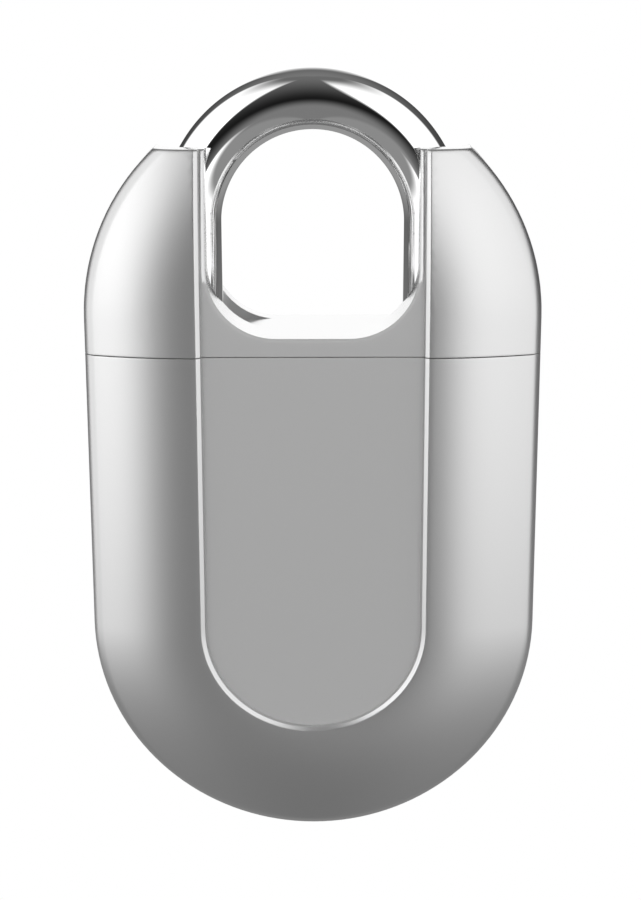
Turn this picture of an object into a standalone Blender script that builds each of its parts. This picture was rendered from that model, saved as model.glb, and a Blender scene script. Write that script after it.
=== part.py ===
"""A shrouded key-powered digital padlock, modelled in metres with +Z up.

The lock stands upright with its front towards -Y. The origin is at the lowest point of the
body, on its centre planes. The shackle is closed and unlocked.
"""
import math

import bmesh
import bpy
from mathutils import Matrix, Vector

# Fits shared by the whole lock
GAP = 0.0003
OVERRUN = 0.0020

# Shackle wire and eye
WIRE_RADIUS = 0.0040
EYE_WIDTH = 0.0240
LEG_X = EYE_WIDTH / 2 + WIRE_RADIUS
LEG_BORE = WIRE_RADIUS + GAP

# Walls and fits round the mechanism
WALL = 0.0024
FACE_WALL = 0.0023
CASSETTE_CLEARANCE = 0.0007
END_CLEARANCE = 0.0016
BUSH_WALL = 0.0009
BUSH_SKIN = 0.0002
SCREW_LAND = 0.0033
EAR_WIDTH = 0.0024
CASSETTE_SCREW_X = LEG_X + LEG_BORE + SCREW_LAND
CASSETTE_END_X = CASSETTE_SCREW_X + EAR_WIDTH
CASSETTE_HALF_DEPTH = LEG_BORE + BUSH_WALL + GAP + BUSH_SKIN
CAVITY_HALF_DEPTH = CASSETTE_HALF_DEPTH + CASSETTE_CLEARANCE

# Recess down both faces, open at the top, with a sloped shoulder round it
RECESS_RADIUS = 0.0152
RECESS_DROP = 0.0008
SHOULDER_WIDTH = 0.0008
PANEL_Y = CAVITY_HALF_DEPTH + FACE_WALL

# Outer body: a stadium seen from the front, cut flat across the top
BODY_RADIUS = CASSETTE_END_X + END_CLEARANCE + WALL
BODY_DEPTH = 2 * (PANEL_Y + RECESS_DROP)
HORN_RISE = 0.0219
SEAM_DROP = 0.0046
CROWN_WIDTH = BODY_RADIUS - RECESS_RADIUS
CROWN_DROP = 0.0041
CROWN_STEPS = 6
ARC_STEPS = 24

# Saddle between the horns
SADDLE_RISE = 0.0023
SADDLE_HALF_WIDTH = 0.0138
SADDLE_CORNER = 0.0090
SADDLE_CORNER_STEPS = 8

# Lower shell
CAVITY_CROWN_WIDTH = 0.0120
CAVITY_CROWN_DROP = 0.0034
GASKET_LIP = 0.0012
GASKET_HEIGHT = 0.0009

# Shackle
BOW_SINK = 0.0100
HEEL_TAIL = 0.0062
TOE_CHAMFER = 0.0008
BOW_STEPS = 20
WAY_STEPS = 6
LIFT = 0.0110
SWING_DEGREES = 70
LOCK_NOTCH_DEPTH = 0.0018

# Heel slot beside the closed leg, in the left corner of the saddle
HEEL_SLOT_FRONT_Y = -0.0013
HEEL_SLOT_BACK_Y = 0.0055
HEEL_SLOT_SINK = 0.0003

# Lock mechanism
PIN_DEPTH = 0.0023
PIN_RADIUS = 0.0016
PIN_TIP_CLEARANCE = 0.0004
PIN_ROOT_X = 0.0014
PIN_STROKE = 0.0015
STUD_RADIUS = 0.0006
STUD_X = 0.0028
STUD_LENGTH = 0.0023
CAM_RADIUS = 0.0056
CAM_THICKNESS = 0.0018
CAM_TURN_DEGREES = 90
CAM_SLOT_STEPS = 14
SHAFT_RADIUS = 0.0010
SHAFT_LENGTH = 0.0045

# Cassette that carries the mechanism under the upper housing
CASSETTE_HEIGHT = 0.0090
CASSETTE_SHOULDER_WIDTH = 0.0055
CASSETTE_END_DROP = 0.0019
BAY_ROOF = 0.0002
BAY_CLEARANCE = 0.0010
POCKET_FLOOR = 0.0019
BUMPER_RADIUS = 0.0038
BUMPER_THICKNESS = 0.0010
GUARD_CLEARANCE = 0.0007
GUARD_HALF_DEPTH = 0.0055
GUARD_THICKNESS = 0.0011
BUSH_LENGTH = 0.0040

# Heel leg hardware
CLIP_GROOVE_DEPTH = 0.0010
CLIP_THICKNESS = 0.0008
LIFT_CLEARANCE = 0.0004
CLIP_RADIUS = 0.0054
CLIP_MOUTH = 0.0044
CUP_RADIUS = 0.0054
CUP_RIM = 0.0022
CUP_BASE = 0.0013
SPRING_RADIUS = 0.0040
SPRING_WIRE_RADIUS = 0.00045
SPRING_TURNS = 6
SPRING_POINTS_A_TURN = 12
SPRING_SEAT_THICKNESS = 0.0012
SPRING_SEAT_RIM = 0.0010
LEDGE_DROP = 0.0198
LEDGE_THICKNESS = 0.0026

# Gearmotor
GEARBOX_RADIUS = 0.0050
GEARBOX_NOSE_RADIUS = 0.0039
GEARBOX_LENGTH = 0.0089
SHAFT_BORE_DEPTH = 0.0026
CAN_LENGTH = 0.0100
CAN_FLAT = 0.0041
END_CAP_LENGTH = 0.0016
MOTOR_CLEARANCE = 0.0005
END_CAP_RADIUS = 0.0046
BRACKET_THICKNESS = 0.0009
BRACKET_EDGE = 0.0013
LEAD_RADIUS = 0.00045
LEAD_X = 0.0025

# Screws
SCREW_RADIUS = 0.0010
SCREW_HEAD_RADIUS = 0.0018
SCREW_HEAD = 0.0012
CASSETTE_SCREW_LENGTH = 0.0150
CASE_SCREW_LENGTH = 0.0060
CASE_BOSS_HALF_WIDTH = 0.0027
CASE_BOSS_HEIGHT = 0.0076
BRACKET_SCREW_CLEARANCE = 0.0006
BRACKET_SCREW_RADIUS = 0.0007
BRACKET_SCREW_LENGTH = 0.0040
BRACKET_SCREW_HEAD_RADIUS = 0.0013
BRACKET_SCREW_HEAD = 0.0008

# Circuit board and what it carries
BOARD_CLEARANCE = 0.0055
BOARD_HEIGHT = 0.0250
BOARD_RISE = 0.0065
BOARD_FRONT_Y = 0.0004
BOARD_THICKNESS = 0.0010
BOARD_POST_RADIUS = 0.0018
BOARD_POST_INSET = 0.0019
BOARD_POST_MARGIN = 0.0020
BOARD_SCREW_LENGTH = 0.0040
CHIP_SIDE = 0.0070
CHIP_THICKNESS = 0.0010
CHIP_DROP = 0.0080
SENSOR_SIZE = 0.0014
TOE_SENSOR_HALF_WIDTH = 0.0015
TOE_SENSOR_HEIGHT = 0.0036

# Key port in the back recess
PORT_DROP = 0.0040
PORT_MARGIN = 0.0050
PORT_FLANGE_WIDTH = 0.0014
PORT_SLEEVE_WALL = 0.0009
PORT_LIP_WIDTH = 0.0013
PORT_FLANGE_THICKNESS = 0.0004
PORT_LIP_THICKNESS = 0.0005
PORT_DEPTH = 0.0032
WINDOW_THICKNESS = 0.0010
SEAL_WIDTH = 0.0009
SEAL_THICKNESS = 0.0007
COIL_INNER_RADIUS = 0.0045
COIL_OUTER_RADIUS = 0.0076
FERRITE_RADIUS = 0.0078
FERRITE_THICKNESS = 0.0010
LIGHT_SENSOR_RADIUS = 0.0012
LIGHT_SENSOR_LENGTH = 0.0028

# Storage capacitor
CAPACITOR_RADIUS = 0.0039
CAPACITOR_DROP = 0.0005
CAPACITOR_LENGTH = 0.0200
CLAMP_THICKNESS = 0.0009
CLAMP_HEIGHT = 0.0060
CLAMP_MOUTH = 0.0052

# Smoothness of round pieces
WELD_DISTANCE = 0.00001
ROUND_SEGMENTS = 32
SMALL_SEGMENTS = 16
SMOOTH_DEGREES = 32

# Places worked out from the sizes above
LOWER_CENTRE_Z = BODY_RADIUS
PORT_Z = LOWER_CENTRE_Z - PORT_DROP
END_CAP_BOTTOM_Z = PORT_Z + FERRITE_RADIUS + MOTOR_CLEARANCE
CAN_BOTTOM_Z = END_CAP_BOTTOM_Z + END_CAP_LENGTH + GAP
CAN_TOP_Z = CAN_BOTTOM_Z + CAN_LENGTH
GEARBOX_BOTTOM_Z = CAN_TOP_Z + GAP
GEARBOX_BODY_TOP_Z = GEARBOX_BOTTOM_Z + GEARBOX_LENGTH
BRACKET_BOTTOM_Z = GEARBOX_BODY_TOP_Z + GAP
CASSETTE_BOTTOM_Z = BRACKET_BOTTOM_Z + BRACKET_THICKNESS + GAP
CASSETTE_TOP_Z = CASSETTE_BOTTOM_Z + CASSETTE_HEIGHT
SEAM_Z = CASSETTE_TOP_Z + GUARD_THICKNESS + 2 * GAP
UPPER_CENTRE_Z = SEAM_Z + SEAM_DROP
HORN_TOP_Z = UPPER_CENTRE_Z + HORN_RISE
SADDLE_Z = SEAM_Z + SADDLE_RISE
BOW_CENTRE_Z = HORN_TOP_Z - BOW_SINK
CASSETTE_SHOULDER_X = CASSETTE_END_X - CASSETTE_SHOULDER_WIDTH
CASSETTE_END_HALF_DEPTH = CASSETTE_HALF_DEPTH - CASSETTE_END_DROP
CASSETTE_BAY_HALF_WIDTH = CAM_RADIUS + BAY_CLEARANCE
PIN_Z = CASSETTE_TOP_Z - PIN_DEPTH
PIN_TIP_X = LEG_X - WIRE_RADIUS - PIN_TIP_CLEARANCE
GUARD_HALF_WIDTH = LEG_X - LEG_BORE - GUARD_CLEARANCE
PIN_BORE = PIN_RADIUS + GAP
CASSETTE_FLOOR_Z = PIN_Z - PIN_BORE - BAY_ROOF
TOE_POCKET_Z = CASSETTE_BOTTOM_Z + POCKET_FLOOR
TOE_END_Z = TOE_POCKET_Z + BUMPER_THICKNESS + 2 * GAP
BUSH_BOTTOM_Z = CASSETTE_BOTTOM_Z - GAP
BUSH_RADIUS = LEG_BORE + BUSH_WALL
CLIP_TOP_Z = BUSH_BOTTOM_Z - LIFT_CLEARANCE - LIFT
HEEL_END_Z = CLIP_TOP_Z - HEEL_TAIL
CAM_TOP_Z = CASSETTE_FLOOR_Z - GAP
CAM_BOTTOM_Z = CAM_TOP_Z - CAM_THICKNESS
CUP_BOTTOM_Z = HEEL_END_Z - GAP - CUP_BASE
LEDGE_TOP_Z = HEEL_END_Z - LEDGE_DROP
SPRING_SEAT_TOP_Z = LEDGE_TOP_Z + GAP + SPRING_SEAT_THICKNESS
BOARD_HALF_WIDTH = LEG_X - BOARD_CLEARANCE
BOARD_POST_X = BOARD_HALF_WIDTH - BOARD_POST_INSET
BOARD_BACK_Y = BOARD_FRONT_Y + BOARD_THICKNESS
BOARD_TOP_Z = PORT_Z + BOARD_RISE
BOARD_BOTTOM_Z = BOARD_TOP_Z - BOARD_HEIGHT
BOARD_POST_UPPER_Z = BOARD_TOP_Z - BOARD_POST_MARGIN
BOARD_POST_LOWER_Z = BOARD_BOTTOM_Z + BOARD_POST_MARGIN
CHIP_Z = PORT_Z - CHIP_DROP
CAPACITOR_BOTTOM_Z = PORT_Z - CAPACITOR_DROP
CLAMP_Z = CAPACITOR_BOTTOM_Z + CAPACITOR_LENGTH / 2
CASE_BOSS_TOP_Z = CASSETTE_BOTTOM_Z - GAP
CASE_BOSS_BOTTOM_Z = CASE_BOSS_TOP_Z - CASE_BOSS_HEIGHT
PORT_FLANGE_RADIUS = RECESS_RADIUS - SHOULDER_WIDTH - PORT_MARGIN
PORT_HOLE_RADIUS = PORT_FLANGE_RADIUS - PORT_FLANGE_WIDTH
PORT_SLEEVE_INNER_RADIUS = PORT_HOLE_RADIUS - GAP - PORT_SLEEVE_WALL
PORT_LIP_RADIUS = PORT_SLEEVE_INNER_RADIUS - PORT_LIP_WIDTH
FERRITE_FRONT_Y = BOARD_BACK_Y + GAP
COIL_FRONT_Y = FERRITE_FRONT_Y + FERRITE_THICKNESS + GAP
PORT_INNER_Y = PANEL_Y + GAP - PORT_DEPTH
COIL_BACK_Y = PORT_INNER_Y - GAP
HORN_RELIEF_Z = BOW_CENTRE_Z + WIRE_RADIUS / 2
BRACKET_SCREW_X = LEG_X - BUSH_RADIUS - BRACKET_SCREW_CLEARANCE - BRACKET_SCREW_HEAD_RADIUS
BRACKET_HALF_WIDTH = BRACKET_SCREW_X + BRACKET_EDGE
GEARBOX_NOSE_TOP_Z = CAM_BOTTOM_Z - 2 * GAP

Y_AXIS_TURN = (math.radians(-90), 0.0, 0.0)
X_AXIS_TURN = (0.0, math.radians(90), 0.0)
NO_TURN = (0.0, 0.0, 0.0)


# Scene and collections

def clear_scene():
    for obj in list(bpy.data.objects):
        bpy.data.objects.remove(obj, do_unlink=True)


def new_collection(name):
    group = bpy.data.collections.new(name)
    bpy.context.scene.collection.children.link(group)
    return group


clear_scene()
LOCK = new_collection("digital_padlock")
CUTTERS = new_collection("cutters")


# Materials

def material(name, colour, roughness, metallic):
    mat = bpy.data.materials.new(name)
    mat.use_nodes = True
    shader = mat.node_tree.nodes["Principled BSDF"]
    shader.inputs["Base Color"].default_value = (*colour, 1.0)
    shader.inputs["Roughness"].default_value = roughness
    shader.inputs["Metallic"].default_value = metallic
    return mat


SATIN_ZINC = material("satin_zinc", (0.62, 0.62, 0.63), 0.34, 1.0)
POLISHED_STEEL = material("polished_steel", (0.80, 0.80, 0.80), 0.06, 1.0)
TOOL_STEEL = material("tool_steel", (0.38, 0.38, 0.40), 0.35, 1.0)
MACHINED_STEEL = material("machined_steel", (0.56, 0.56, 0.58), 0.28, 1.0)
BRASS = material("brass", (0.78, 0.60, 0.30), 0.30, 1.0)
COPPER = material("copper", (0.72, 0.38, 0.22), 0.35, 1.0)
BLACK_PLASTIC = material("black_plastic", (0.02, 0.02, 0.022), 0.45, 0.0)
SMOKED_WINDOW = material("smoked_window", (0.05, 0.01, 0.015), 0.10, 0.0)
RUBBER = material("rubber", (0.03, 0.03, 0.03), 0.75, 0.0)
BOARD_GREEN = material("board_green", (0.02, 0.16, 0.07), 0.40, 0.0)
FERRITE_GREY = material("ferrite_grey", (0.10, 0.10, 0.11), 0.60, 0.0)
SLEEVE_BLUE = material("sleeve_blue", (0.03, 0.07, 0.20), 0.35, 0.0)
RED_LEAD = material("red_lead", (0.55, 0.03, 0.03), 0.45, 0.0)


# Making pieces

def from_bmesh(name, bm, location=(0.0, 0.0, 0.0), turn=NO_TURN):
    mesh = bpy.data.meshes.new(name)
    bm.to_mesh(mesh)
    bm.free()
    obj = bpy.data.objects.new(name, mesh)
    obj.location = location
    obj.rotation_euler = turn
    LOCK.objects.link(obj)
    return obj


def round_bar(name, radius, length, location, turn=NO_TURN, segments=ROUND_SEGMENTS):
    """A cylinder that starts at location and runs along its own +Z."""
    bm = bmesh.new()
    bmesh.ops.create_cone(bm, cap_ends=True, segments=segments, radius1=radius, radius2=radius,
                          depth=length)
    bmesh.ops.translate(bm, verts=bm.verts, vec=(0.0, 0.0, length / 2))
    return from_bmesh(name, bm, location, turn)


def block(name, low, high):
    """A box between two corners, with its origin at its centre."""
    size = Vector(high) - Vector(low)
    centre = (Vector(high) + Vector(low)) / 2
    bm = bmesh.new()
    bmesh.ops.create_cube(bm, size=1.0)
    bmesh.ops.scale(bm, verts=bm.verts, vec=size)
    return from_bmesh(name, bm, centre)


def turned(name, profile, location, turn=NO_TURN, segments=ROUND_SEGMENTS):
    """A Screw of a closed profile of (radius, height) points, down its outer side first."""
    mesh = bpy.data.meshes.new(name)
    count = len(profile)
    points = [(radius, 0.0, height) for radius, height in profile]
    on_axis = profile[0][0] == 0.0 and profile[-1][0] == 0.0
    edges = [(i, (i + 1) % count) for i in range(count - 1 if on_axis else count)]
    mesh.from_pydata(points, edges, [])
    obj = bpy.data.objects.new(name, mesh)
    obj.location = location
    obj.rotation_euler = turn
    LOCK.objects.link(obj)
    screw = obj.modifiers.new("turn", "SCREW")
    screw.axis = "Z"
    screw.steps = segments
    screw.render_steps = segments
    screw.use_merge_vertices = True
    screw.merge_threshold = WELD_DISTANCE
    return obj


def ring(name, inner, outer, length, location, turn=NO_TURN, segments=ROUND_SEGMENTS):
    profile = [(outer, length), (outer, 0.0), (inner, 0.0), (inner, length)]
    return turned(name, profile, location, turn, segments)


def as_mesh(curve_object):
    """Replace a curve object by its evaluated mesh with the caps welded."""
    graph = bpy.context.evaluated_depsgraph_get()
    mesh = bpy.data.meshes.new_from_object(curve_object.evaluated_get(graph))
    bm = bmesh.new()
    bm.from_mesh(mesh)
    bmesh.ops.remove_doubles(bm, verts=bm.verts, dist=WELD_DISTANCE)
    bm.to_mesh(mesh)
    bm.free()
    name = curve_object.name
    obj = bpy.data.objects.new(name, mesh)
    obj.matrix_world = curve_object.matrix_world
    bpy.data.objects.remove(curve_object, do_unlink=True)
    obj.name = name
    LOCK.objects.link(obj)
    return obj


def flat_piece(name, outlines, thickness, location, turn=NO_TURN):
    """A flat outline with holes, of a thickness centred on its location."""
    curve = bpy.data.curves.new(name, "CURVE")
    curve.dimensions = "2D"
    curve.fill_mode = "BOTH"
    curve.extrude = thickness / 2
    for outline in outlines:
        spline = curve.splines.new("POLY")
        spline.points.add(len(outline) - 1)
        for point, (x, y) in zip(spline.points, outline):
            point.co = (x, y, 0.0, 1.0)
        spline.use_cyclic_u = True
    obj = bpy.data.objects.new(name, curve)
    obj.location = location
    obj.rotation_euler = turn
    LOCK.objects.link(obj)
    bpy.context.view_layer.update()
    return as_mesh(obj)


def wire(name, points, radius, resolution, location=(0.0, 0.0, 0.0)):
    """A round wire along points, with filled caps."""
    curve = bpy.data.curves.new(name, "CURVE")
    curve.dimensions = "3D"
    curve.bevel_depth = radius
    curve.bevel_resolution = resolution
    curve.use_fill_caps = True
    spline = curve.splines.new("POLY")
    spline.points.add(len(points) - 1)
    for point, place in zip(spline.points, points):
        point.co = (*place, 1.0)
    obj = bpy.data.objects.new(name, curve)
    obj.location = location
    LOCK.objects.link(obj)
    bpy.context.view_layer.update()
    return obj


def boolean(target, other, operation):
    bpy.context.view_layer.update()
    for group in list(other.users_collection):
        group.objects.unlink(other)
    CUTTERS.objects.link(other)
    other.hide_render = True
    other.display_type = "WIRE"
    modifier = target.modifiers.new(other.name, "BOOLEAN")
    modifier.operation = operation
    modifier.solver = "EXACT"
    modifier.object = other


def cut(target, *cutters):
    for cutter in cutters:
        boolean(target, cutter, "DIFFERENCE")


def fuse(target, *others):
    for other in others:
        boolean(target, other, "UNION")


def finish(obj, mat):
    obj.data.materials.clear()
    obj.data.materials.append(mat)
    if obj.type == "MESH":
        obj.data.shade_smooth()
        if obj.data.polygons:
            obj.data.set_sharp_from_angle(angle=math.radians(SMOOTH_DEGREES))
    return obj


def pivot(name, location):
    """An empty on a joint's axis that carries the moving pieces."""
    empty = bpy.data.objects.new(name, None)
    empty.location = location
    LOCK.objects.link(empty)
    bpy.context.view_layer.update()
    return empty


def carry(empty, *pieces):
    bpy.context.view_layer.update()
    for piece in pieces:
        piece.parent = empty
        piece.matrix_parent_inverse = empty.matrix_world.inverted()


# Outlines

def arc(centre, radius, start, end, steps):
    """Points from start to end degrees, counted from +X towards the second axis."""
    points = []
    for i in range(steps + 1):
        angle = math.radians(start + (end - start) * i / steps)
        points.append((centre[0] + radius * math.cos(angle), centre[1] + radius * math.sin(angle)))
    return points


def circle(radius, centre=(0.0, 0.0), segments=ROUND_SEGMENTS):
    return arc(centre, radius, 0.0, 360.0, segments)[:-1]


def stadium(radius):
    """The body's outline in X and Z, round at both ends."""
    lower = arc((0.0, LOWER_CENTRE_Z), radius, 180.0, 360.0, ARC_STEPS)
    upper = arc((0.0, UPPER_CENTRE_Z), radius, 0.0, 180.0, ARC_STEPS)
    return lower + upper


def inset_steps(width, drop, steps):
    """Width and height of each step of a quarter ellipse, from the outline inwards."""
    result = []
    for i in range(steps):
        first = math.radians(90.0 * i / steps)
        last = math.radians(90.0 * (i + 1) / steps)
        across = width * (math.cos(first) - math.cos(last))
        up = drop * (math.sin(last) - math.sin(first))
        result.append((across, up))
    return result


def crowned_blank(name, radius, half_depth, crown_width, crown_drop, recessed=False):
    """A stadium whose two faces rise as a quarter ellipse from the outline inwards."""
    wall_half = half_depth - crown_drop
    slab = flat_piece(name + "_slab", [stadium(radius)], 2 * wall_half, (0.0, 0.0, 0.0))
    bm = bmesh.new()
    bm.from_mesh(slab.data)
    bpy.data.objects.remove(slab, do_unlink=True)
    bmesh.ops.dissolve_limit(bm, angle_limit=math.radians(1), verts=bm.verts, edges=bm.edges,
                             delimit=set())
    bmesh.ops.recalc_face_normals(bm, faces=bm.faces)
    for side in (1, -1):
        cap = max(bm.faces, key=lambda face: side * face.normal.z * face.calc_area())
        for across, up in inset_steps(crown_width, crown_drop, CROWN_STEPS):
            bmesh.ops.inset_region(bm, faces=[cap], thickness=across, depth=up,
                                   use_even_offset=True, use_boundary=True)
        if recessed:
            bmesh.ops.inset_region(bm, faces=[cap], thickness=SHOULDER_WIDTH,
                                   use_even_offset=True, use_boundary=True)
    bmesh.ops.rotate(bm, verts=bm.verts, cent=(0.0, 0.0, 0.0),
                     matrix=Matrix.Rotation(math.radians(90), 3, "X"))
    if recessed:
        sink_recess(bm, wall_half)
    bmesh.ops.recalc_face_normals(bm, faces=bm.faces)
    return bm


def sink_recess(bm, wall_half):
    """Lower both faces inside the recess, which runs on up past the top of the blank."""
    inner = RECESS_RADIUS - SHOULDER_WIDTH
    for x in (-RECESS_RADIUS, -inner, inner, RECESS_RADIUS):
        bmesh.ops.bisect_plane(bm, geom=bm.verts[:] + bm.edges[:] + bm.faces[:],
                               plane_co=(x, 0.0, 0.0), plane_no=(1.0, 0.0, 0.0))
    for vert in bm.verts:
        below = min(vert.co.z - LOWER_CENTRE_Z, 0.0)
        share = (RECESS_RADIUS - math.hypot(vert.co.x, below)) / SHOULDER_WIDTH
        if abs(vert.co.y) > wall_half + WELD_DISTANCE:
            sink = RECESS_DROP * min(max(share, 0.0), 1.0)
            vert.co.y -= math.copysign(sink, vert.co.y)


def keep_between(bm, low_z, high_z):
    """Cut a closed mesh flat at two heights and close the cuts."""
    for height, direction in ((low_z, -1.0), (high_z, 1.0)):
        result = bmesh.ops.bisect_plane(bm, geom=bm.verts[:] + bm.edges[:] + bm.faces[:],
                                        plane_co=(0.0, 0.0, height),
                                        plane_no=(0.0, 0.0, direction), clear_outer=True)
        edges = [item for item in result["geom_cut"] if isinstance(item, bmesh.types.BMEdge)]
        if edges:
            bmesh.ops.holes_fill(bm, edges=edges)
    bmesh.ops.recalc_face_normals(bm, faces=bm.faces)
    return bm


def outer_body(low_z, high_z, name, inset=0.0, recessed=False):
    bm = crowned_blank(name, BODY_RADIUS - inset, BODY_DEPTH / 2 - inset, CROWN_WIDTH - inset,
                       CROWN_DROP, recessed)
    return from_bmesh(name, keep_between(bm, low_z, high_z))


def saddle_cutter():
    """The rounded notch between the horns."""
    half = SADDLE_HALF_WIDTH
    corner = SADDLE_CORNER
    top = HORN_TOP_Z + OVERRUN
    left = arc((-half + corner, SADDLE_Z + corner), corner, 180.0, 270.0, SADDLE_CORNER_STEPS)
    right = arc((half - corner, SADDLE_Z + corner), corner, 270.0, 360.0, SADDLE_CORNER_STEPS)
    outline = left + right + [(half, top), (-half, top)]
    return flat_piece("saddle_cutter", [outline], BODY_DEPTH + OVERRUN, (0.0, 0.0, 0.0),
                      (math.radians(90), 0.0, 0.0))


def leg_bore(x, low_z, high_z, name):
    return round_bar(name, LEG_BORE, high_z - low_z, (x, 0.0, low_z))


def toe_way(low_z, high_z):
    """The toe leg's bore with the way out behind it, along the swing about the heel axis."""
    inner = 2 * LEG_X - LEG_BORE
    outer = 2 * LEG_X + LEG_BORE
    reach = BODY_DEPTH / 2 + OVERRUN
    inner_swing = math.degrees(math.asin(reach / inner))
    outer_swing = math.degrees(math.asin(reach / outer))
    outline = arc((-LEG_X, 0.0), inner, inner_swing, 0.0, WAY_STEPS)
    outline += arc((LEG_X, 0.0), LEG_BORE, 180.0, 360.0, ROUND_SEGMENTS // 2)[1:-1]
    outline += arc((-LEG_X, 0.0), outer, 0.0, outer_swing, WAY_STEPS)
    return flat_piece("toe_way", [outline], high_z - low_z,
                      (0.0, 0.0, (low_z + high_z) / 2))


# Housings

def make_upper_housing():
    low = SEAM_Z + GAP / 2
    body = outer_body(low, HORN_TOP_Z, "upper_housing", recessed=True)
    cut(body, saddle_cutter())
    over = HORN_TOP_Z + OVERRUN
    under = low - OVERRUN
    cut(body, leg_bore(-LEG_X, under, over, "heel_bore"))
    cut(body, toe_way(under, over))
    cut(body, block("bow_way", (-LEG_X, -LEG_BORE, BOW_CENTRE_Z - WIRE_RADIUS),
                    (LEG_X, LEG_BORE, over)))
    flat_end = SADDLE_HALF_WIDTH - SADDLE_CORNER
    back = BODY_DEPTH / 2 + OVERRUN
    cut(body, block("toe_gap", (flat_end, HEEL_SLOT_FRONT_Y, SADDLE_Z), (LEG_X, back, over)))
    slot_low = (-LEG_X, HEEL_SLOT_FRONT_Y, SADDLE_Z - HEEL_SLOT_SINK)
    slot_high = (-flat_end, HEEL_SLOT_BACK_Y, over)
    cut(body, block("heel_slot", slot_low, slot_high))
    half = WIRE_RADIUS * math.sin(math.radians(SWING_DEGREES)) - GAP
    relief_low = (-LEG_X - half, 0.0, HORN_RELIEF_Z)
    cut(body, block("swing_relief", relief_low, (-SADDLE_HALF_WIDTH + OVERRUN, back, over)))
    for side in (-1, 1):
        depth = CASSETTE_SCREW_LENGTH + CASSETTE_BOTTOM_Z - low + GAP
        cut(body, round_bar("screw_hole", SCREW_RADIUS + GAP, depth + OVERRUN,
                            (side * CASSETTE_SCREW_X, 0.0, low - OVERRUN),
                            segments=SMALL_SEGMENTS))
    return finish(body, SATIN_ZINC)


def make_lower_housing():
    high = SEAM_Z - GAP / 2
    body = outer_body(-OVERRUN, high, "lower_housing", recessed=True)
    cavity = crowned_blank("cavity", BODY_RADIUS - WALL, CAVITY_HALF_DEPTH, CAVITY_CROWN_WIDTH,
                           CAVITY_CROWN_DROP)
    cut(body, from_bmesh("cavity", keep_between(cavity, 0.0, high + OVERRUN)))
    rebate = outer_body(high - GASKET_HEIGHT - GAP, high + OVERRUN, "gasket_rebate", GASKET_LIP)
    cut(body, rebate)
    cut(body, toe_way(TOE_END_Z - GAP, high + OVERRUN))
    cut(body, round_bar("port_hole", PORT_HOLE_RADIUS, BODY_DEPTH / 2 + OVERRUN,
                        (0.0, 0.0, PORT_Z), Y_AXIS_TURN))
    fuse_ledges(body)
    return finish(body, SATIN_ZINC)


def fuse_ledges(body):
    """Ledges, a screw boss and board posts cast with the lower housing."""
    root = CAVITY_HALF_DEPTH + GAP
    ledge_half = CUP_RADIUS - GAP
    fuse(body, block("spring_ledge", (-LEG_X - ledge_half, -root, LEDGE_TOP_Z - LEDGE_THICKNESS),
                     (-LEG_X + ledge_half, root, LEDGE_TOP_Z)))
    top = CAPACITOR_BOTTOM_Z - GAP
    fuse(body, block("capacitor_ledge", (LEG_X - CAPACITOR_RADIUS, -root, top - LEDGE_THICKNESS),
                     (LEG_X + CAPACITOR_RADIUS, root, top)))
    fuse(body, block("case_boss", (LEG_X - CASE_BOSS_HALF_WIDTH, -root, CASE_BOSS_BOTTOM_Z),
                     (LEG_X + CASE_BOSS_HALF_WIDTH, CASE_BOSS_HALF_WIDTH, CASE_BOSS_TOP_Z)))
    cut(body, round_bar("case_screw_hole", SCREW_RADIUS + GAP, CASE_SCREW_LENGTH + OVERRUN,
                        (LEG_X, 0.0, CASE_BOSS_TOP_Z - CASE_SCREW_LENGTH), segments=SMALL_SEGMENTS))
    post = BOARD_FRONT_Y - GAP + root
    for x, z in board_posts():
        fuse(body, round_bar("board_post", BOARD_POST_RADIUS, post, (x, -root, z), Y_AXIS_TURN,
                             SMALL_SEGMENTS))
        cut(body, round_bar("post_hole", BRACKET_SCREW_RADIUS + GAP, BOARD_SCREW_LENGTH,
                            (x, BOARD_BACK_Y - BOARD_SCREW_LENGTH, z), Y_AXIS_TURN,
                            SMALL_SEGMENTS))


def board_posts():
    return [(-BOARD_POST_X, BOARD_POST_UPPER_Z), (BOARD_POST_X, BOARD_POST_UPPER_Z),
            (0.0, BOARD_POST_LOWER_Z)]


def make_gasket():
    """The seal in the rebate under the seam, open where the toe leg swings out."""
    high = SEAM_Z - GAP / 2
    low = high - GASKET_HEIGHT
    seal = outer_body(low, high, "seam_gasket", GASKET_LIP + GAP)
    inner = crowned_blank("gasket_inside", BODY_RADIUS - WALL, CAVITY_HALF_DEPTH,
                          CAVITY_CROWN_WIDTH, CAVITY_CROWN_DROP)
    cut(seal, from_bmesh("gasket_inside", keep_between(inner, 0.0, high + OVERRUN)))
    cut(seal, toe_way(low - OVERRUN, high + OVERRUN))
    return finish(seal, RUBBER)


# Shackle and its heel hardware

def shackle_path():
    """Centre line relative to the heel axis, from the heel end over the bow to the toe end."""
    bow = [(LEG_X + LEG_X * math.cos(angle), 0.0, BOW_CENTRE_Z + LEG_X * math.sin(angle))
           for angle in (math.pi * (1 - i / BOW_STEPS) for i in range(BOW_STEPS + 1))]
    return [(0.0, 0.0, HEEL_END_Z)] + bow + [(2 * LEG_X, 0.0, TOE_END_Z)]


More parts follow.
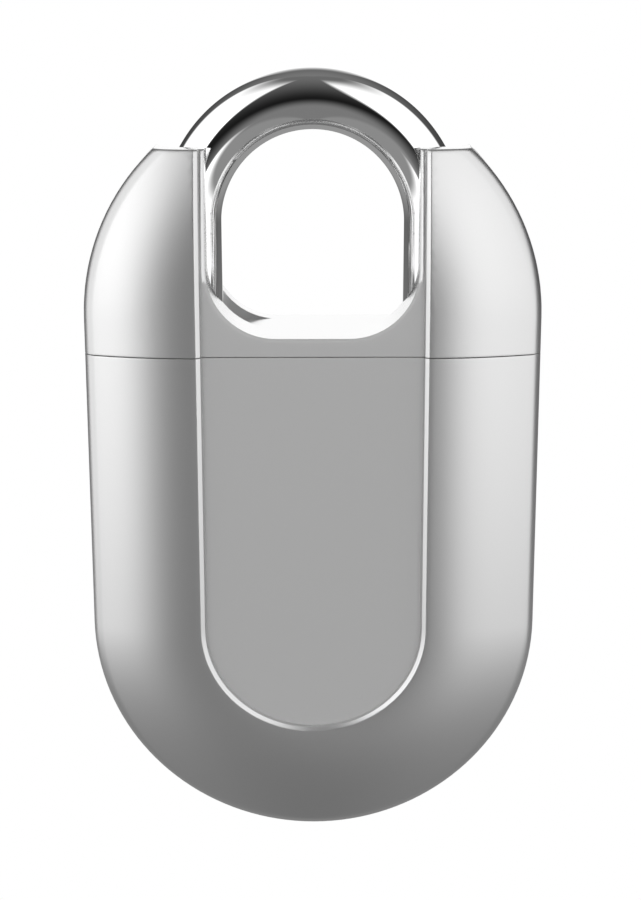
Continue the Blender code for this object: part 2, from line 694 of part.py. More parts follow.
def make_shackle():
    body = as_mesh(wire("shackle", shackle_path(), WIRE_RADIUS, 6, (-LEG_X, 0.0, 0.0)))
    groove = PIN_BORE
    for height in (PIN_Z, PIN_Z - LIFT):
        cut(body, ring("lock_groove", WIRE_RADIUS - LOCK_NOTCH_DEPTH, WIRE_RADIUS + OVERRUN,
                       2 * groove, (-LEG_X, 0.0, height - groove)))
    clip_bottom = CLIP_TOP_Z - CLIP_THICKNESS - GAP
    cut(body, ring("clip_groove", WIRE_RADIUS - CLIP_GROOVE_DEPTH, WIRE_RADIUS + OVERRUN,
                   CLIP_THICKNESS + 2 * GAP, (-LEG_X, 0.0, clip_bottom)))
    cut(body, round_bar("toe_notch", PIN_BORE, WIRE_RADIUS,
                        (LEG_X - 2 * WIRE_RADIUS + LOCK_NOTCH_DEPTH, 0.0, PIN_Z), X_AXIS_TURN,
                        SMALL_SEGMENTS))
    nose = WIRE_RADIUS - TOE_CHAMFER
    outer = WIRE_RADIUS + OVERRUN
    rise = TOE_CHAMFER + OVERRUN
    taper = [(outer, rise), (outer, -OVERRUN), (nose - OVERRUN, -OVERRUN), (nose - GAP, -GAP)]
    cut(body, turned("toe_taper", taper, (LEG_X, 0.0, TOE_END_Z)))
    return finish(body, POLISHED_STEEL)


def make_retaining_clip():
    """An open ring in the heel leg's groove, which stops the lift under the bush."""
    inner = WIRE_RADIUS - CLIP_GROOVE_DEPTH + GAP
    half_mouth = CLIP_MOUTH / 2
    outer_angle = math.degrees(math.asin(half_mouth / CLIP_RADIUS))
    inner_angle = math.degrees(math.asin(half_mouth / inner))
    outline = arc((0.0, 0.0), CLIP_RADIUS, 180.0 + outer_angle, 540.0 - outer_angle, 28)
    outline += arc((0.0, 0.0), inner, 540.0 - inner_angle, 180.0 + inner_angle, 20)
    centre_z = CLIP_TOP_Z - CLIP_THICKNESS / 2
    clip = flat_piece("retaining_clip", [outline], CLIP_THICKNESS, (-LEG_X, 0.0, centre_z))
    return finish(clip, TOOL_STEEL)


def make_spring_cup():
    """The cup that the heel leg turns in; it rides on the lift spring."""
    inside = WIRE_RADIUS + GAP
    rim = CUP_BASE + CUP_RIM
    profile = [(0.0, CUP_BASE), (inside, CUP_BASE), (inside, rim), (CUP_RADIUS, rim),
               (CUP_RADIUS, 0.0), (0.0, 0.0)]
    cup = turned("spring_cup", profile, (-LEG_X, 0.0, CUP_BOTTOM_Z))
    return finish(cup, MACHINED_STEEL)


def make_lift_spring():
    low = SPRING_SEAT_TOP_Z + GAP + SPRING_WIRE_RADIUS
    high = CUP_BOTTOM_Z - GAP - SPRING_WIRE_RADIUS
    count = SPRING_TURNS * SPRING_POINTS_A_TURN
    points = []
    for i in range(count + 1):
        angle = 2 * math.pi * i / SPRING_POINTS_A_TURN
        points.append((SPRING_RADIUS * math.cos(angle), SPRING_RADIUS * math.sin(angle),
                       low + (high - low) * i / count))
    spring = wire("lift_spring", points, SPRING_WIRE_RADIUS, 1, (-LEG_X, 0.0, 0.0))
    return finish(as_mesh(spring), MACHINED_STEEL)


def make_spring_seat():
    """A dished washer between the spring and the ledge."""
    inner = SPRING_RADIUS - SPRING_WIRE_RADIUS - GAP
    rise = SPRING_SEAT_THICKNESS + SPRING_SEAT_RIM
    profile = [(0.0, rise), (inner - SPRING_SEAT_RIM, rise), (inner, SPRING_SEAT_THICKNESS),
               (CUP_RADIUS - GAP, SPRING_SEAT_THICKNESS), (CUP_RADIUS - GAP, 0.0), (0.0, 0.0)]
    seat = turned("spring_seat", profile, (-LEG_X, 0.0, LEDGE_TOP_Z + GAP))
    return finish(seat, BLACK_PLASTIC)


def make_heel_bush():
    bush = ring("heel_bush", LEG_BORE, BUSH_RADIUS, BUSH_LENGTH,
                (-LEG_X, 0.0, BUSH_BOTTOM_Z))
    return finish(bush, BRASS)


# Lock mechanism

def make_lock_pin(name, side):
    """A locking pin along X with the stud that follows the cam's slot."""
    length = PIN_TIP_X - PIN_ROOT_X
    start = PIN_ROOT_X if side > 0 else -PIN_TIP_X
    pin = round_bar(name, PIN_RADIUS, length, (start, 0.0, PIN_Z), X_AXIS_TURN, SMALL_SEGMENTS)
    low = PIN_Z - PIN_RADIUS - STUD_LENGTH
    fuse(pin, round_bar(name + "_stud", STUD_RADIUS, PIN_Z - low, (side * STUD_X, 0.0, low),
                        segments=SMALL_SEGMENTS))
    return finish(pin, MACHINED_STEEL)


def cam_slot(side):
    """A spiral slot that moves its stud out by the pin's stroke over the cam's turn."""
    half = STUD_RADIUS + GAP
    base = 0.0 if side > 0 else 180.0
    inner = []
    outer = []
    for i in range(CAM_SLOT_STEPS + 1):
        share = i / CAM_SLOT_STEPS
        radius = STUD_X + PIN_STROKE * share
        angle = math.radians(base - CAM_TURN_DEGREES * share)
        inner.append(((radius - half) * math.cos(angle), (radius - half) * math.sin(angle)))
        outer.append(((radius + half) * math.cos(angle), (radius + half) * math.sin(angle)))
    last = base - CAM_TURN_DEGREES
    far_radius = STUD_X + PIN_STROKE
    far_centre = (far_radius * math.cos(math.radians(last)),
                  far_radius * math.sin(math.radians(last)))
    near_centre = (STUD_X * math.cos(math.radians(base)), STUD_X * math.sin(math.radians(base)))
    far_end = arc(far_centre, half, last, last - 180.0, SMALL_SEGMENTS // 2)[1:-1]
    near_end = arc(near_centre, half, base + 180.0, base, SMALL_SEGMENTS // 2)[1:-1]
    centre_z = (CAM_TOP_Z + CAM_BOTTOM_Z) / 2
    return flat_piece("cam_slot", [outer + far_end + inner[::-1] + near_end],
                      CAM_THICKNESS + OVERRUN, (0.0, 0.0, centre_z))


def make_cam():
    cam = round_bar("locking_cam", CAM_RADIUS, CAM_THICKNESS, (0.0, 0.0, CAM_BOTTOM_Z))
    cut(cam, round_bar("cam_hole", SHAFT_RADIUS + GAP, CAM_THICKNESS + OVERRUN,
                       (0.0, 0.0, CAM_BOTTOM_Z - OVERRUN / 2), segments=SMALL_SEGMENTS))
    cut(cam, cam_slot(1), cam_slot(-1))
    return finish(cam, TOOL_STEEL)


def make_output_shaft():
    shaft = round_bar("output_shaft", SHAFT_RADIUS, SHAFT_LENGTH,
                      (0.0, 0.0, CAM_TOP_Z - SHAFT_LENGTH), segments=SMALL_SEGMENTS)
    return finish(shaft, MACHINED_STEEL)


def cassette_outline():
    half = CASSETTE_HALF_DEPTH
    end = CASSETTE_END_HALF_DEPTH
    return [(-CASSETTE_END_X, -end), (-CASSETTE_SHOULDER_X, -half),
            (CASSETTE_SHOULDER_X, -half), (CASSETTE_END_X, -end), (CASSETTE_END_X, end),
            (CASSETTE_SHOULDER_X, half), (-CASSETTE_SHOULDER_X, half), (-CASSETTE_END_X, end)]


def make_cassette():
    centre_z = (CASSETTE_BOTTOM_Z + CASSETTE_TOP_Z) / 2
    body = flat_piece("lock_cassette", [cassette_outline()], CASSETTE_TOP_Z - CASSETTE_BOTTOM_Z,
                      (0.0, 0.0, centre_z))
    over = CASSETTE_TOP_Z + OVERRUN
    under = CASSETTE_BOTTOM_Z - OVERRUN
    deep = CASSETTE_HALF_DEPTH + OVERRUN
    cut(body, leg_bore(-LEG_X, under, over, "cassette_heel_bore"))
    cut(body, round_bar("bush_seat", BUSH_RADIUS + GAP,
                        BUSH_BOTTOM_Z + BUSH_LENGTH + GAP - under, (-LEG_X, 0.0, under)))
    cut(body, toe_way(TOE_POCKET_Z, over))
    cut(body, block("cam_bay", (-CASSETTE_BAY_HALF_WIDTH, -deep, under),
                    (CASSETTE_BAY_HALF_WIDTH, deep, CASSETTE_FLOOR_Z)))
    cut(body, round_bar("pin_way", PIN_BORE, 2 * LEG_X, (-LEG_X, 0.0, PIN_Z), X_AXIS_TURN,
                        SMALL_SEGMENTS))
    cut(body, block("stud_way", (-CASSETTE_BAY_HALF_WIDTH, -PIN_BORE, under),
                    (CASSETTE_BAY_HALF_WIDTH, PIN_BORE, PIN_Z)))
    for side in (-1, 1):
        cut(body, round_bar("ear_hole", SCREW_RADIUS + GAP, over - under,
                            (side * CASSETTE_SCREW_X, 0.0, under), segments=SMALL_SEGMENTS))
        cut(body, round_bar("bracket_hole", BRACKET_SCREW_RADIUS + GAP,
                            BRACKET_SCREW_LENGTH + OVERRUN,
                            (side * BRACKET_SCREW_X, 0.0, under), segments=SMALL_SEGMENTS))
    cut(body, round_bar("case_screw_way", SCREW_RADIUS + GAP, over - under, (LEG_X, 0.0, under),
                        segments=SMALL_SEGMENTS))
    cut(body, round_bar("case_head_seat", SCREW_HEAD_RADIUS + GAP, SCREW_HEAD + GAP + OVERRUN,
                        (LEG_X, 0.0, TOE_POCKET_Z - SCREW_HEAD - GAP), segments=SMALL_SEGMENTS))
    cut(body, toe_sensor_box("sensor_seat", GAP, OVERRUN))
    return finish(body, SATIN_ZINC)


def toe_sensor_box(name, clearance, top_clearance):
    """The sensor beside the toe leg, or its seat when given a clearance."""
    near = LEG_X + LEG_BORE + 2 * GAP
    half = TOE_SENSOR_HALF_WIDTH + clearance
    low_z = CASSETTE_TOP_Z - TOE_SENSOR_HEIGHT - GAP
    return block(name, (near - clearance, -half, low_z - clearance),
                 (near + SENSOR_SIZE + clearance, half, CASSETTE_TOP_Z - GAP + top_clearance))


def make_guard_plate():
    half_x = GUARD_HALF_WIDTH
    half_y = GUARD_HALF_DEPTH
    bottom = CASSETTE_TOP_Z + GAP
    plate = block("drill_guard_plate", (-half_x, -half_y, bottom),
                  (half_x, half_y, bottom + GUARD_THICKNESS))
    return finish(plate, TOOL_STEEL)


def make_bumper():
    pad = round_bar("toe_bumper", BUMPER_RADIUS, BUMPER_THICKNESS,
                    (LEG_X, 0.0, TOE_POCKET_Z + GAP))
    return finish(pad, RUBBER)


# Gearmotor

def make_gearbox():
    body = GEARBOX_BODY_TOP_Z - GEARBOX_BOTTOM_Z
    nose = GEARBOX_NOSE_TOP_Z - GEARBOX_BOTTOM_Z
    bore = SHAFT_RADIUS + GAP
    floor = nose - SHAFT_BORE_DEPTH
    profile = [(0.0, floor), (bore, floor), (bore, nose), (GEARBOX_NOSE_RADIUS, nose),
               (GEARBOX_NOSE_RADIUS, body), (GEARBOX_RADIUS, body), (GEARBOX_RADIUS, 0.0),
               (0.0, 0.0)]
    return finish(turned("gearbox", profile, (0.0, 0.0, GEARBOX_BOTTOM_Z)), BRASS)


def make_motor_can():
    can = round_bar("motor_can", GEARBOX_RADIUS, CAN_LENGTH, (0.0, 0.0, CAN_BOTTOM_Z))
    for side in (-1, 1):
        inner = side * CAN_FLAT
        outer = side * (GEARBOX_RADIUS + OVERRUN)
        cut(can, block("can_flat",
                       (-GEARBOX_RADIUS - OVERRUN, min(inner, outer), CAN_BOTTOM_Z - OVERRUN),
                       (GEARBOX_RADIUS + OVERRUN, max(inner, outer), CAN_TOP_Z + OVERRUN)))
    return finish(can, MACHINED_STEEL)


def make_end_cap():
    cap = round_bar("motor_end_cap", END_CAP_RADIUS, END_CAP_LENGTH,
                    (0.0, 0.0, END_CAP_BOTTOM_Z))
    return finish(cap, BLACK_PLASTIC)


def make_lead(name, side):
    """A short lead from the motor's end cap to the front of the board."""
    x = side * LEAD_X
    top = END_CAP_BOTTOM_Z - GAP
    face = BOARD_FRONT_Y - GAP
    reach = CHIP_THICKNESS + LEAD_RADIUS
    drop = top - BOARD_TOP_Z + reach
    points = [(x, face - 2 * reach, top)]
    for i in range(9):
        angle = math.radians(90.0 * i / 8)
        points.append((x, face - 2 * reach + 2 * reach * (1 - math.cos(angle)),
                       top - drop - 2 * reach * math.sin(angle)))
    return finish(as_mesh(wire(name, points, LEAD_RADIUS, 2)), RED_LEAD)


def make_bracket():
    """The plate on the gearbox's shoulder that is screwed up to the cassette."""
    half_x = BRACKET_HALF_WIDTH
    half_y = CASSETTE_HALF_DEPTH - GAP
    outline = [(-half_x, -half_y), (half_x, -half_y), (half_x, half_y), (-half_x, half_y)]
    holes = [circle(GEARBOX_NOSE_RADIUS + GAP)]
    for side in (-1, 1):
        holes.append(circle(BRACKET_SCREW_RADIUS + GAP, (side * BRACKET_SCREW_X, 0.0),
                            SMALL_SEGMENTS))
    plate = flat_piece("gearbox_bracket", [outline] + holes, BRACKET_THICKNESS,
                       (0.0, 0.0, BRACKET_BOTTOM_Z + BRACKET_THICKNESS / 2))
    return finish(plate, MACHINED_STEEL)


def make_screw(name, radius, length, head_radius, head, location, turn=NO_TURN):
    """A socket screw with its head at location and its shank along its own +Z."""
    socket = head_radius / 2
    depth = head / 2
    profile = [(0.0, head + length), (radius, head + length), (radius, head),
               (head_radius, head), (head_radius, 0.0), (socket, 0.0), (socket, depth),
               (0.0, depth)]
    return finish(turned(name, profile, location, turn, SMALL_SEGMENTS), MACHINED_STEEL)


def make_screws():
    pieces = []
    low = CASSETTE_BOTTOM_Z - GAP - SCREW_HEAD
    for name, side in (("cassette_screw_left", -1), ("cassette_screw_right", 1)):
        pieces.append(make_screw(name, SCREW_RADIUS, CASSETTE_SCREW_LENGTH, SCREW_HEAD_RADIUS,
                                 SCREW_HEAD, (side * CASSETTE_SCREW_X, 0.0, low)))
    low = BRACKET_BOTTOM_Z - GAP - BRACKET_SCREW_HEAD
    for name, side in (("bracket_screw_left", -1), ("bracket_screw_right", 1)):
        pieces.append(make_screw(name, BRACKET_SCREW_RADIUS, BRACKET_SCREW_LENGTH,
                                 BRACKET_SCREW_HEAD_RADIUS, BRACKET_SCREW_HEAD,
                                 (side * BRACKET_SCREW_X, 0.0, low)))
    pieces.append(make_screw("case_screw", SCREW_RADIUS, CASE_SCREW_LENGTH, SCREW_HEAD_RADIUS,
                             SCREW_HEAD, (LEG_X, 0.0, TOE_POCKET_Z),
                             (math.radians(180), 0.0, 0.0)))
    for i, (x, z) in enumerate(board_posts()):
        head_y = BOARD_BACK_Y + GAP + BRACKET_SCREW_HEAD
        pieces.append(make_screw("board_screw_%d" % (i + 1), BRACKET_SCREW_RADIUS,
                                 BOARD_SCREW_LENGTH - 2 * GAP, BRACKET_SCREW_HEAD_RADIUS,
                                 BRACKET_SCREW_HEAD, (x, head_y, z),
                                 (math.radians(90), 0.0, 0.0)))
    return pieces


# Electronics

def make_board():
    """The board's outline has its corners cut to fit the round end of the cavity."""
    half = BOARD_HALF_WIDTH
    low = BOARD_BOTTOM_Z
    high = BOARD_TOP_Z
    cut_x = half / 2
    cut_z = low + half / 2
    outline = [(-half, high), (-half, cut_z), (-half + cut_x, low), (half - cut_x, low),
               (half, cut_z), (half, high)]
    holes = [circle(BRACKET_SCREW_RADIUS + GAP, post, SMALL_SEGMENTS) for post in board_posts()]
    board = flat_piece("circuit_board", [outline] + holes, BOARD_THICKNESS,
                       (0.0, (BOARD_FRONT_Y + BOARD_BACK_Y) / 2, 0.0),
                       (math.radians(90), 0.0, 0.0))
    return finish(board, BOARD_GREEN)


def make_chip():
    half = CHIP_SIDE / 2
    back = BOARD_FRONT_Y - GAP
    chip = block("controller_chip", (-half, back - CHIP_THICKNESS, CHIP_Z - half),
                 (half, back, CHIP_Z + half))
    return finish(chip, BLACK_PLASTIC)


def make_toe_sensor():
    return finish(toe_sensor_box("toe_sensor", 0.0, 0.0), BLACK_PLASTIC)


def make_light_sensor():
    sensor = round_bar("light_sensor", LIGHT_SENSOR_RADIUS, LIGHT_SENSOR_LENGTH,
                       (0.0, BOARD_BACK_Y + GAP, PORT_Z), Y_AXIS_TURN, SMALL_SEGMENTS)
    return finish(sensor, SMOKED_WINDOW)


def make_ferrite():
    plate = ring("ferrite_plate", LIGHT_SENSOR_RADIUS + GAP, FERRITE_RADIUS, FERRITE_THICKNESS,
                 (0.0, FERRITE_FRONT_Y, PORT_Z), Y_AXIS_TURN)
    return finish(plate, FERRITE_GREY)


def make_coil():
    coil = ring("key_coil", COIL_INNER_RADIUS, COIL_OUTER_RADIUS, COIL_BACK_Y - COIL_FRONT_Y,
                (0.0, COIL_FRONT_Y, PORT_Z), Y_AXIS_TURN)
    return finish(coil, COPPER)


def make_port_ring():
    """A flanged ring through the back wall, with a lip that holds the window and its seal."""
    sleeve = PORT_HOLE_RADIUS - GAP
    flange = PORT_DEPTH
    top = flange + PORT_FLANGE_THICKNESS
    profile = [(PORT_SLEEVE_INNER_RADIUS, top), (PORT_FLANGE_RADIUS, top),
               (PORT_FLANGE_RADIUS, flange), (sleeve, flange), (sleeve, 0.0),
               (PORT_LIP_RADIUS, 0.0), (PORT_LIP_RADIUS, PORT_LIP_THICKNESS),
               (PORT_SLEEVE_INNER_RADIUS, PORT_LIP_THICKNESS)]
    return finish(turned("port_ring", profile, (0.0, PORT_INNER_Y, PORT_Z), Y_AXIS_TURN),
                  BLACK_PLASTIC)


def make_port_seal():
    outer = PORT_SLEEVE_INNER_RADIUS - GAP
    seal = ring("port_seal", outer - SEAL_WIDTH, outer, SEAL_THICKNESS,
                (0.0, PORT_INNER_Y + PORT_LIP_THICKNESS + GAP, PORT_Z), Y_AXIS_TURN)
    return finish(seal, RUBBER)


def make_port_window():
    start = PORT_INNER_Y + PORT_LIP_THICKNESS + GAP + SEAL_THICKNESS + GAP
    window = round_bar("port_window", PORT_SLEEVE_INNER_RADIUS - GAP, WINDOW_THICKNESS,
                       (0.0, start, PORT_Z), Y_AXIS_TURN)
    return finish(window, SMOKED_WINDOW)


def make_capacitor():
    can = round_bar("storage_capacitor", CAPACITOR_RADIUS, CAPACITOR_LENGTH,
                    (LEG_X, 0.0, CAPACITOR_BOTTOM_Z))
    return finish(can, SLEEVE_BLUE)


def make_capacitor_clamp():
    """A spring clamp round the capacitor, open at the back."""
    inner = CAPACITOR_RADIUS + GAP
    outer = inner + CLAMP_THICKNESS
    half_mouth = CLAMP_MOUTH / 2
    outer_angle = math.degrees(math.asin(half_mouth / outer))
    inner_angle = math.degrees(math.asin(half_mouth / inner))
    outline = arc((0.0, 0.0), outer, 90.0 + outer_angle, 450.0 - outer_angle, 28)
    outline += arc((0.0, 0.0), inner, 450.0 - inner_angle, 90.0 + inner_angle, 24)
    clamp = flat_piece("capacitor_clamp", [outline], CLAMP_HEIGHT, (LEG_X, 0.0, CLAMP_Z))
    foot = CAVITY_HALF_DEPTH - GAP
    half = CAPACITOR_RADIUS / 2
    fuse(clamp, block("clamp_foot", (LEG_X - half, -foot, CLAMP_Z - CLAMP_HEIGHT / 2),
                      (LEG_X + half, -inner - CLAMP_THICKNESS / 2, CLAMP_Z + CLAMP_HEIGHT / 2)))
    return finish(clamp, BLACK_PLASTIC)


# The whole lock

def build():
    make_upper_housing()
    make_lower_housing()
    make_gasket()
    make_cassette()
    make_guard_plate()
    make_bumper()
    make_heel_bush()
    make_spring_seat()
    make_lift_spring()
    make_gearbox()
    make_motor_can()
    make_end_cap()
    make_lead("motor_lead_left", -1)
    make_lead("motor_lead_right", 1)
    make_bracket()
    make_screws()
    make_board()
    make_chip()
    make_toe_sensor()
    make_light_sensor()
    make_ferrite()
    make_coil()
    make_port_ring()
    make_port_seal()
    make_port_window()
    make_capacitor()
    make_capacitor_clamp()
    lift = pivot("lift_axis", (-LEG_X, 0.0, 0.0))
    carry(lift, make_spring_cup())
    swing = pivot("swing_axis", (-LEG_X, 0.0, 0.0))
    carry(swing, make_shackle(), make_retaining_clip())
    carry(lift, swing)
    turn = pivot("cam_axis", (0.0, 0.0, CAM_BOTTOM_Z))
    carry(turn, make_cam(), make_output_shaft())
    make_lock_pin("toe_lock_pin", 1)
    make_lock_pin("heel_lock_pin", -1)


build()
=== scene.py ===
"""Looks of the digital padlock: fine surfaces, finishes, floor, light and camera."""
import math

import bmesh
import bpy
from mathutils import Matrix, Vector


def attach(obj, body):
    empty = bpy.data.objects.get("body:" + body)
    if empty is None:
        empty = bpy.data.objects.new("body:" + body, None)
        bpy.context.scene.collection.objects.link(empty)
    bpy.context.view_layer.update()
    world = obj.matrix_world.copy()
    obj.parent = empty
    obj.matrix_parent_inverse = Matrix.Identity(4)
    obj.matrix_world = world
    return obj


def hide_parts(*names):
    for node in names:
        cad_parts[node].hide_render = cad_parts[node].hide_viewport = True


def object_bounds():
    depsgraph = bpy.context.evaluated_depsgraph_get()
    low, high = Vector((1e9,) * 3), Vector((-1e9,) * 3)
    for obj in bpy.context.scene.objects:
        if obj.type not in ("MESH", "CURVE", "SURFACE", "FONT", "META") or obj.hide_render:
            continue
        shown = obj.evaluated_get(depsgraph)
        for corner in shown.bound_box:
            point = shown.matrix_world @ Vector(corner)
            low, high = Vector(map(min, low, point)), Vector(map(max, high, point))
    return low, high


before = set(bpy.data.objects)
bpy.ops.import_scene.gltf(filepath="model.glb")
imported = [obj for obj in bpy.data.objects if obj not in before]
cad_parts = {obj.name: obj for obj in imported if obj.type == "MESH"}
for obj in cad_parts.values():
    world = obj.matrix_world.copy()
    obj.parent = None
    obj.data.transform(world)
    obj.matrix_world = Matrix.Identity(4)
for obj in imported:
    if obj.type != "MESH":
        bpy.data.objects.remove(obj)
CAD_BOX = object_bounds()


# Sizes of the body, in metres. Those read from the frame are rounded to a number of decimals.

DECIMALS = 6
BODY_RADIUS, HALF_DEPTH, TOTAL_HEIGHT = (round(size, DECIMALS) for size in CAD_BOX[1])
LOWER_CENTRE = BODY_RADIUS
UPPER_CENTRE = 0.0722
HORN_TOP = 0.0942
SEAM = 0.0675
SEAM_GAP = 0.00007
CROWN_WIDTH = 0.0148
CROWN_CURVE = 0.0400
RIM_ROUND = 0.0015
RECESS_RADIUS = 0.01511
RECESS_END = 0.01461
RECESS_DROP = 0.0008
BEVEL_WIDTH = 0.00048
BEVEL_SLOPE = 0.6
BEVEL_BLEND = 0.00012
STEP_WIDTH = 0.00013
DECK_RADIUS = RECESS_RADIUS - BEVEL_WIDTH - STEP_WIDTH
NOTCH_FLOOR = 0.0699
NOTCH_HALF = 0.0138
NOTCH_CORNER = 0.0090
NOTCH_FLAT_END = NOTCH_HALF - NOTCH_CORNER
NOTCH_CORNER_HEIGHT = NOTCH_FLOOR + NOTCH_CORNER
NOTCH_ROUND = 0.0006
NOTCH_CURVE = 0.00078
TOP_ROUND = 0.0004
SEAM_ROUND = 0.00008
SEAM_RINGS = (0.0003, 0.0010, 0.0022)

# Where faces count as deck, as notch and as rim, and how far they may lean

DECK_START = 0.0070
NOTCH_START = 0.0695
RIM_START = 0.0774
LEAN = 0.05

# Places of the legs, and the cuts in the upper shell as opposite corners of boxes

LEG_X = 0.0160
WIRE_RADIUS = 0.0040
BORE_RADIUS = 0.0043
BOW_CENTRE = TOTAL_HEIGHT - LEG_X - WIRE_RADIUS
OVERRUN = 0.0020
BEHIND = HALF_DEPTH + OVERRUN
ABOVE = 0.0961
WAY_FRONT = -0.0013
HEEL_SLOT = ((-LEG_X, WAY_FRONT, 0.06995), (-NOTCH_FLAT_END, 0.0055, ABOVE))
TOE_GAP = ((NOTCH_FLAT_END, WAY_FRONT, NOTCH_FLOOR), (LEG_X, BEHIND, ABOVE))
BOW_WAY = ((-LEG_X, -BORE_RADIUS, BOW_CENTRE - WIRE_RADIUS), (LEG_X, BORE_RADIUS, ABOVE))
SWING_RELIEF = ((-0.0194588, 0.0, 0.0861), (-0.0118, BEHIND, ABOVE))
HORN_REAR_TOP = 0.0930
HORN_REARS = (0.0110, 0.0230)
SCREW_X = 0.0236
SCREW_HOLE_RADIUS = 0.0013
SCREW_HOLE_TOP = UPPER_CENTRE

# Hollow of the lower shell: radius, half depth, crown width and crown drop

CAVITY = (0.0276, 0.0064, 0.0120, 0.0034)
REBATE = (0.0288, 0.0083, 0.0136, 0.0041)
REBATE_FLOOR = 0.06625
LINING = 0.0003
TOE_WAY_FLOOR = 0.0601
PORT_HEIGHT = 0.0260
PORT_HOLE_RADIUS = 0.0080

# Shackle

HEEL_END = 0.0390
TOE_END = 0.0604
GROOVE_RADIUS = 0.0022
GROOVE_HALF = 0.0019
PIN_HEIGHT = 0.0636
GROOVE_HEIGHTS = (0.0526, PIN_HEIGHT)
CLIP_GROOVE_RADIUS = 0.0030
CLIP_GROOVE = (0.0441, 0.0455)
EDGE_CHAMFER = 0.00015
NOSE_CHAMFER = 0.0008
TOE_NOTCH_ENDS = (0.0098, 0.0140)

# Key port, turned about its middle: distances from its axis and from the body's middle plane

PORT_PROFILE = ((0.0068, 0.00915), (0.0070, 0.00935), (0.0092, 0.00935), (0.0094, 0.00915),
                (0.0094, 0.0090), (0.0077, 0.0090), (0.0077, 0.0058), (0.0055, 0.0058),
                (0.0055, 0.0063), (0.0068, 0.0063))
WINDOW_PROFILE = ((0.0, 0.0076), (0.0065, 0.0076), (0.0065, 0.0085), (0.0064, 0.0086),
                  (0.0, 0.0086))

# Patterns and grains

EVEN_FINE = (0.00012, 0.00012, 0.00012)
TURNED_GRAIN = (0.0030, 0.0030, 0.0001)
WIRE_PITCH = 0.0003
TRACK_PITCH = 0.0014
STRIPE_ENDS = (0.0185, 0.0187)
SLEEVE_GRAIN = 0.00033333

# How finely surfaces are divided

ARC_STEPS = 72
CROWN_STEPS = 18
BLEND_STEPS = 4
ROUND_STEPS = 5
RIM_STEPS = 12
CORNER_STEPS = 16
BORE_SEGMENTS = 96
WIRE_SEGMENTS = 160
BOW_STEPS = 240
WAY_DEGREES = 26.0
WAY_STEPS = 26
WELD = 0.000001
UPWARDS = (0.0, 0.0, 1.0)
SIDEWAYS = (1.0, 0.0, 0.0)
SHARP_DEGREES = 30.0

# Camera and floor

CAMERA_PLACE = (0.00099, -0.2439, 0.11807)
CAMERA_PITCH = 15.0
CAMERA_ROLL = -0.095
CAMERA_LENS = 73.92
FLOOR_SIZE = 3.0

# Studio light: turns from the front and tilts from level, in degrees. Each soft box has its
# near edge, its far edge, how far that edge is drawn in when low, where its brightest part ends,
# and how much brighter that part is.

DEGREES = math.degrees(1.0)
BOXES = ((-26.5, -121.0, 12.0, -57.0, 1.5), (13.0, 111.0, -24.0, 45.0, 0.85))
LOW_TILTS = (20.0, -5.0)
BRIGHT_BOTTOM = (-36.0, 5.0)
BRIGHT_TOP = (46.0, 8.0)
BOX_LIGHT = 1.12
BOX_NEAR_SOFT = 3.0
BOX_FAR_SOFT = 6.0
BOX_BOTTOM = (-29.0, -17.0)
BOX_TOP = (78.0, 50.0)
BACK_TURNS = (159.0, 165.0)
BACK_BOTTOM = (-14.0, -8.0)
BACK_TOP = (56.0, 10.0)
BACK_LIGHT = 1.08
SKY_BASE = 0.010
SKY_LIGHT = 0.144
REAR_TURNS = (95.0, 130.0)
REAR_LIGHT = 0.04
GROUND_TILTS = (4.0, -28.0)
GROUND_LIGHT = 0.19
SIDE_TURNS = (12.0, 22.0)
SIDE_GROUND_LIGHT = 0.072


# Shader expressions

class Socket:
    """A value in a node tree, with Python's operators for its maths."""

    def __init__(self, finish, output):
        self.finish = finish
        self.output = output

    def math(self, operation, *others):
        inputs = dict(enumerate((self, *others)))
        return self.finish.add("ShaderNodeMath", {"operation": operation}, inputs)

    def __add__(self, other):
        return self.math("ADD", other)

    def __sub__(self, other):
        return self.math("SUBTRACT", other)

    def __mul__(self, other):
        return self.math("MULTIPLY", other)

    def __rsub__(self, other):
        return (self * -1.0) + other

    __radd__ = __add__
    __rmul__ = __mul__

    def ramp(self, low, high):
        """Zero at the first value and one at the second, eased at both ends."""
        return self.finish.add("ShaderNodeMapRange", {"interpolation_type": "SMOOTHSTEP"}, {
            "Value": self, "From Min": low, "From Max": high})


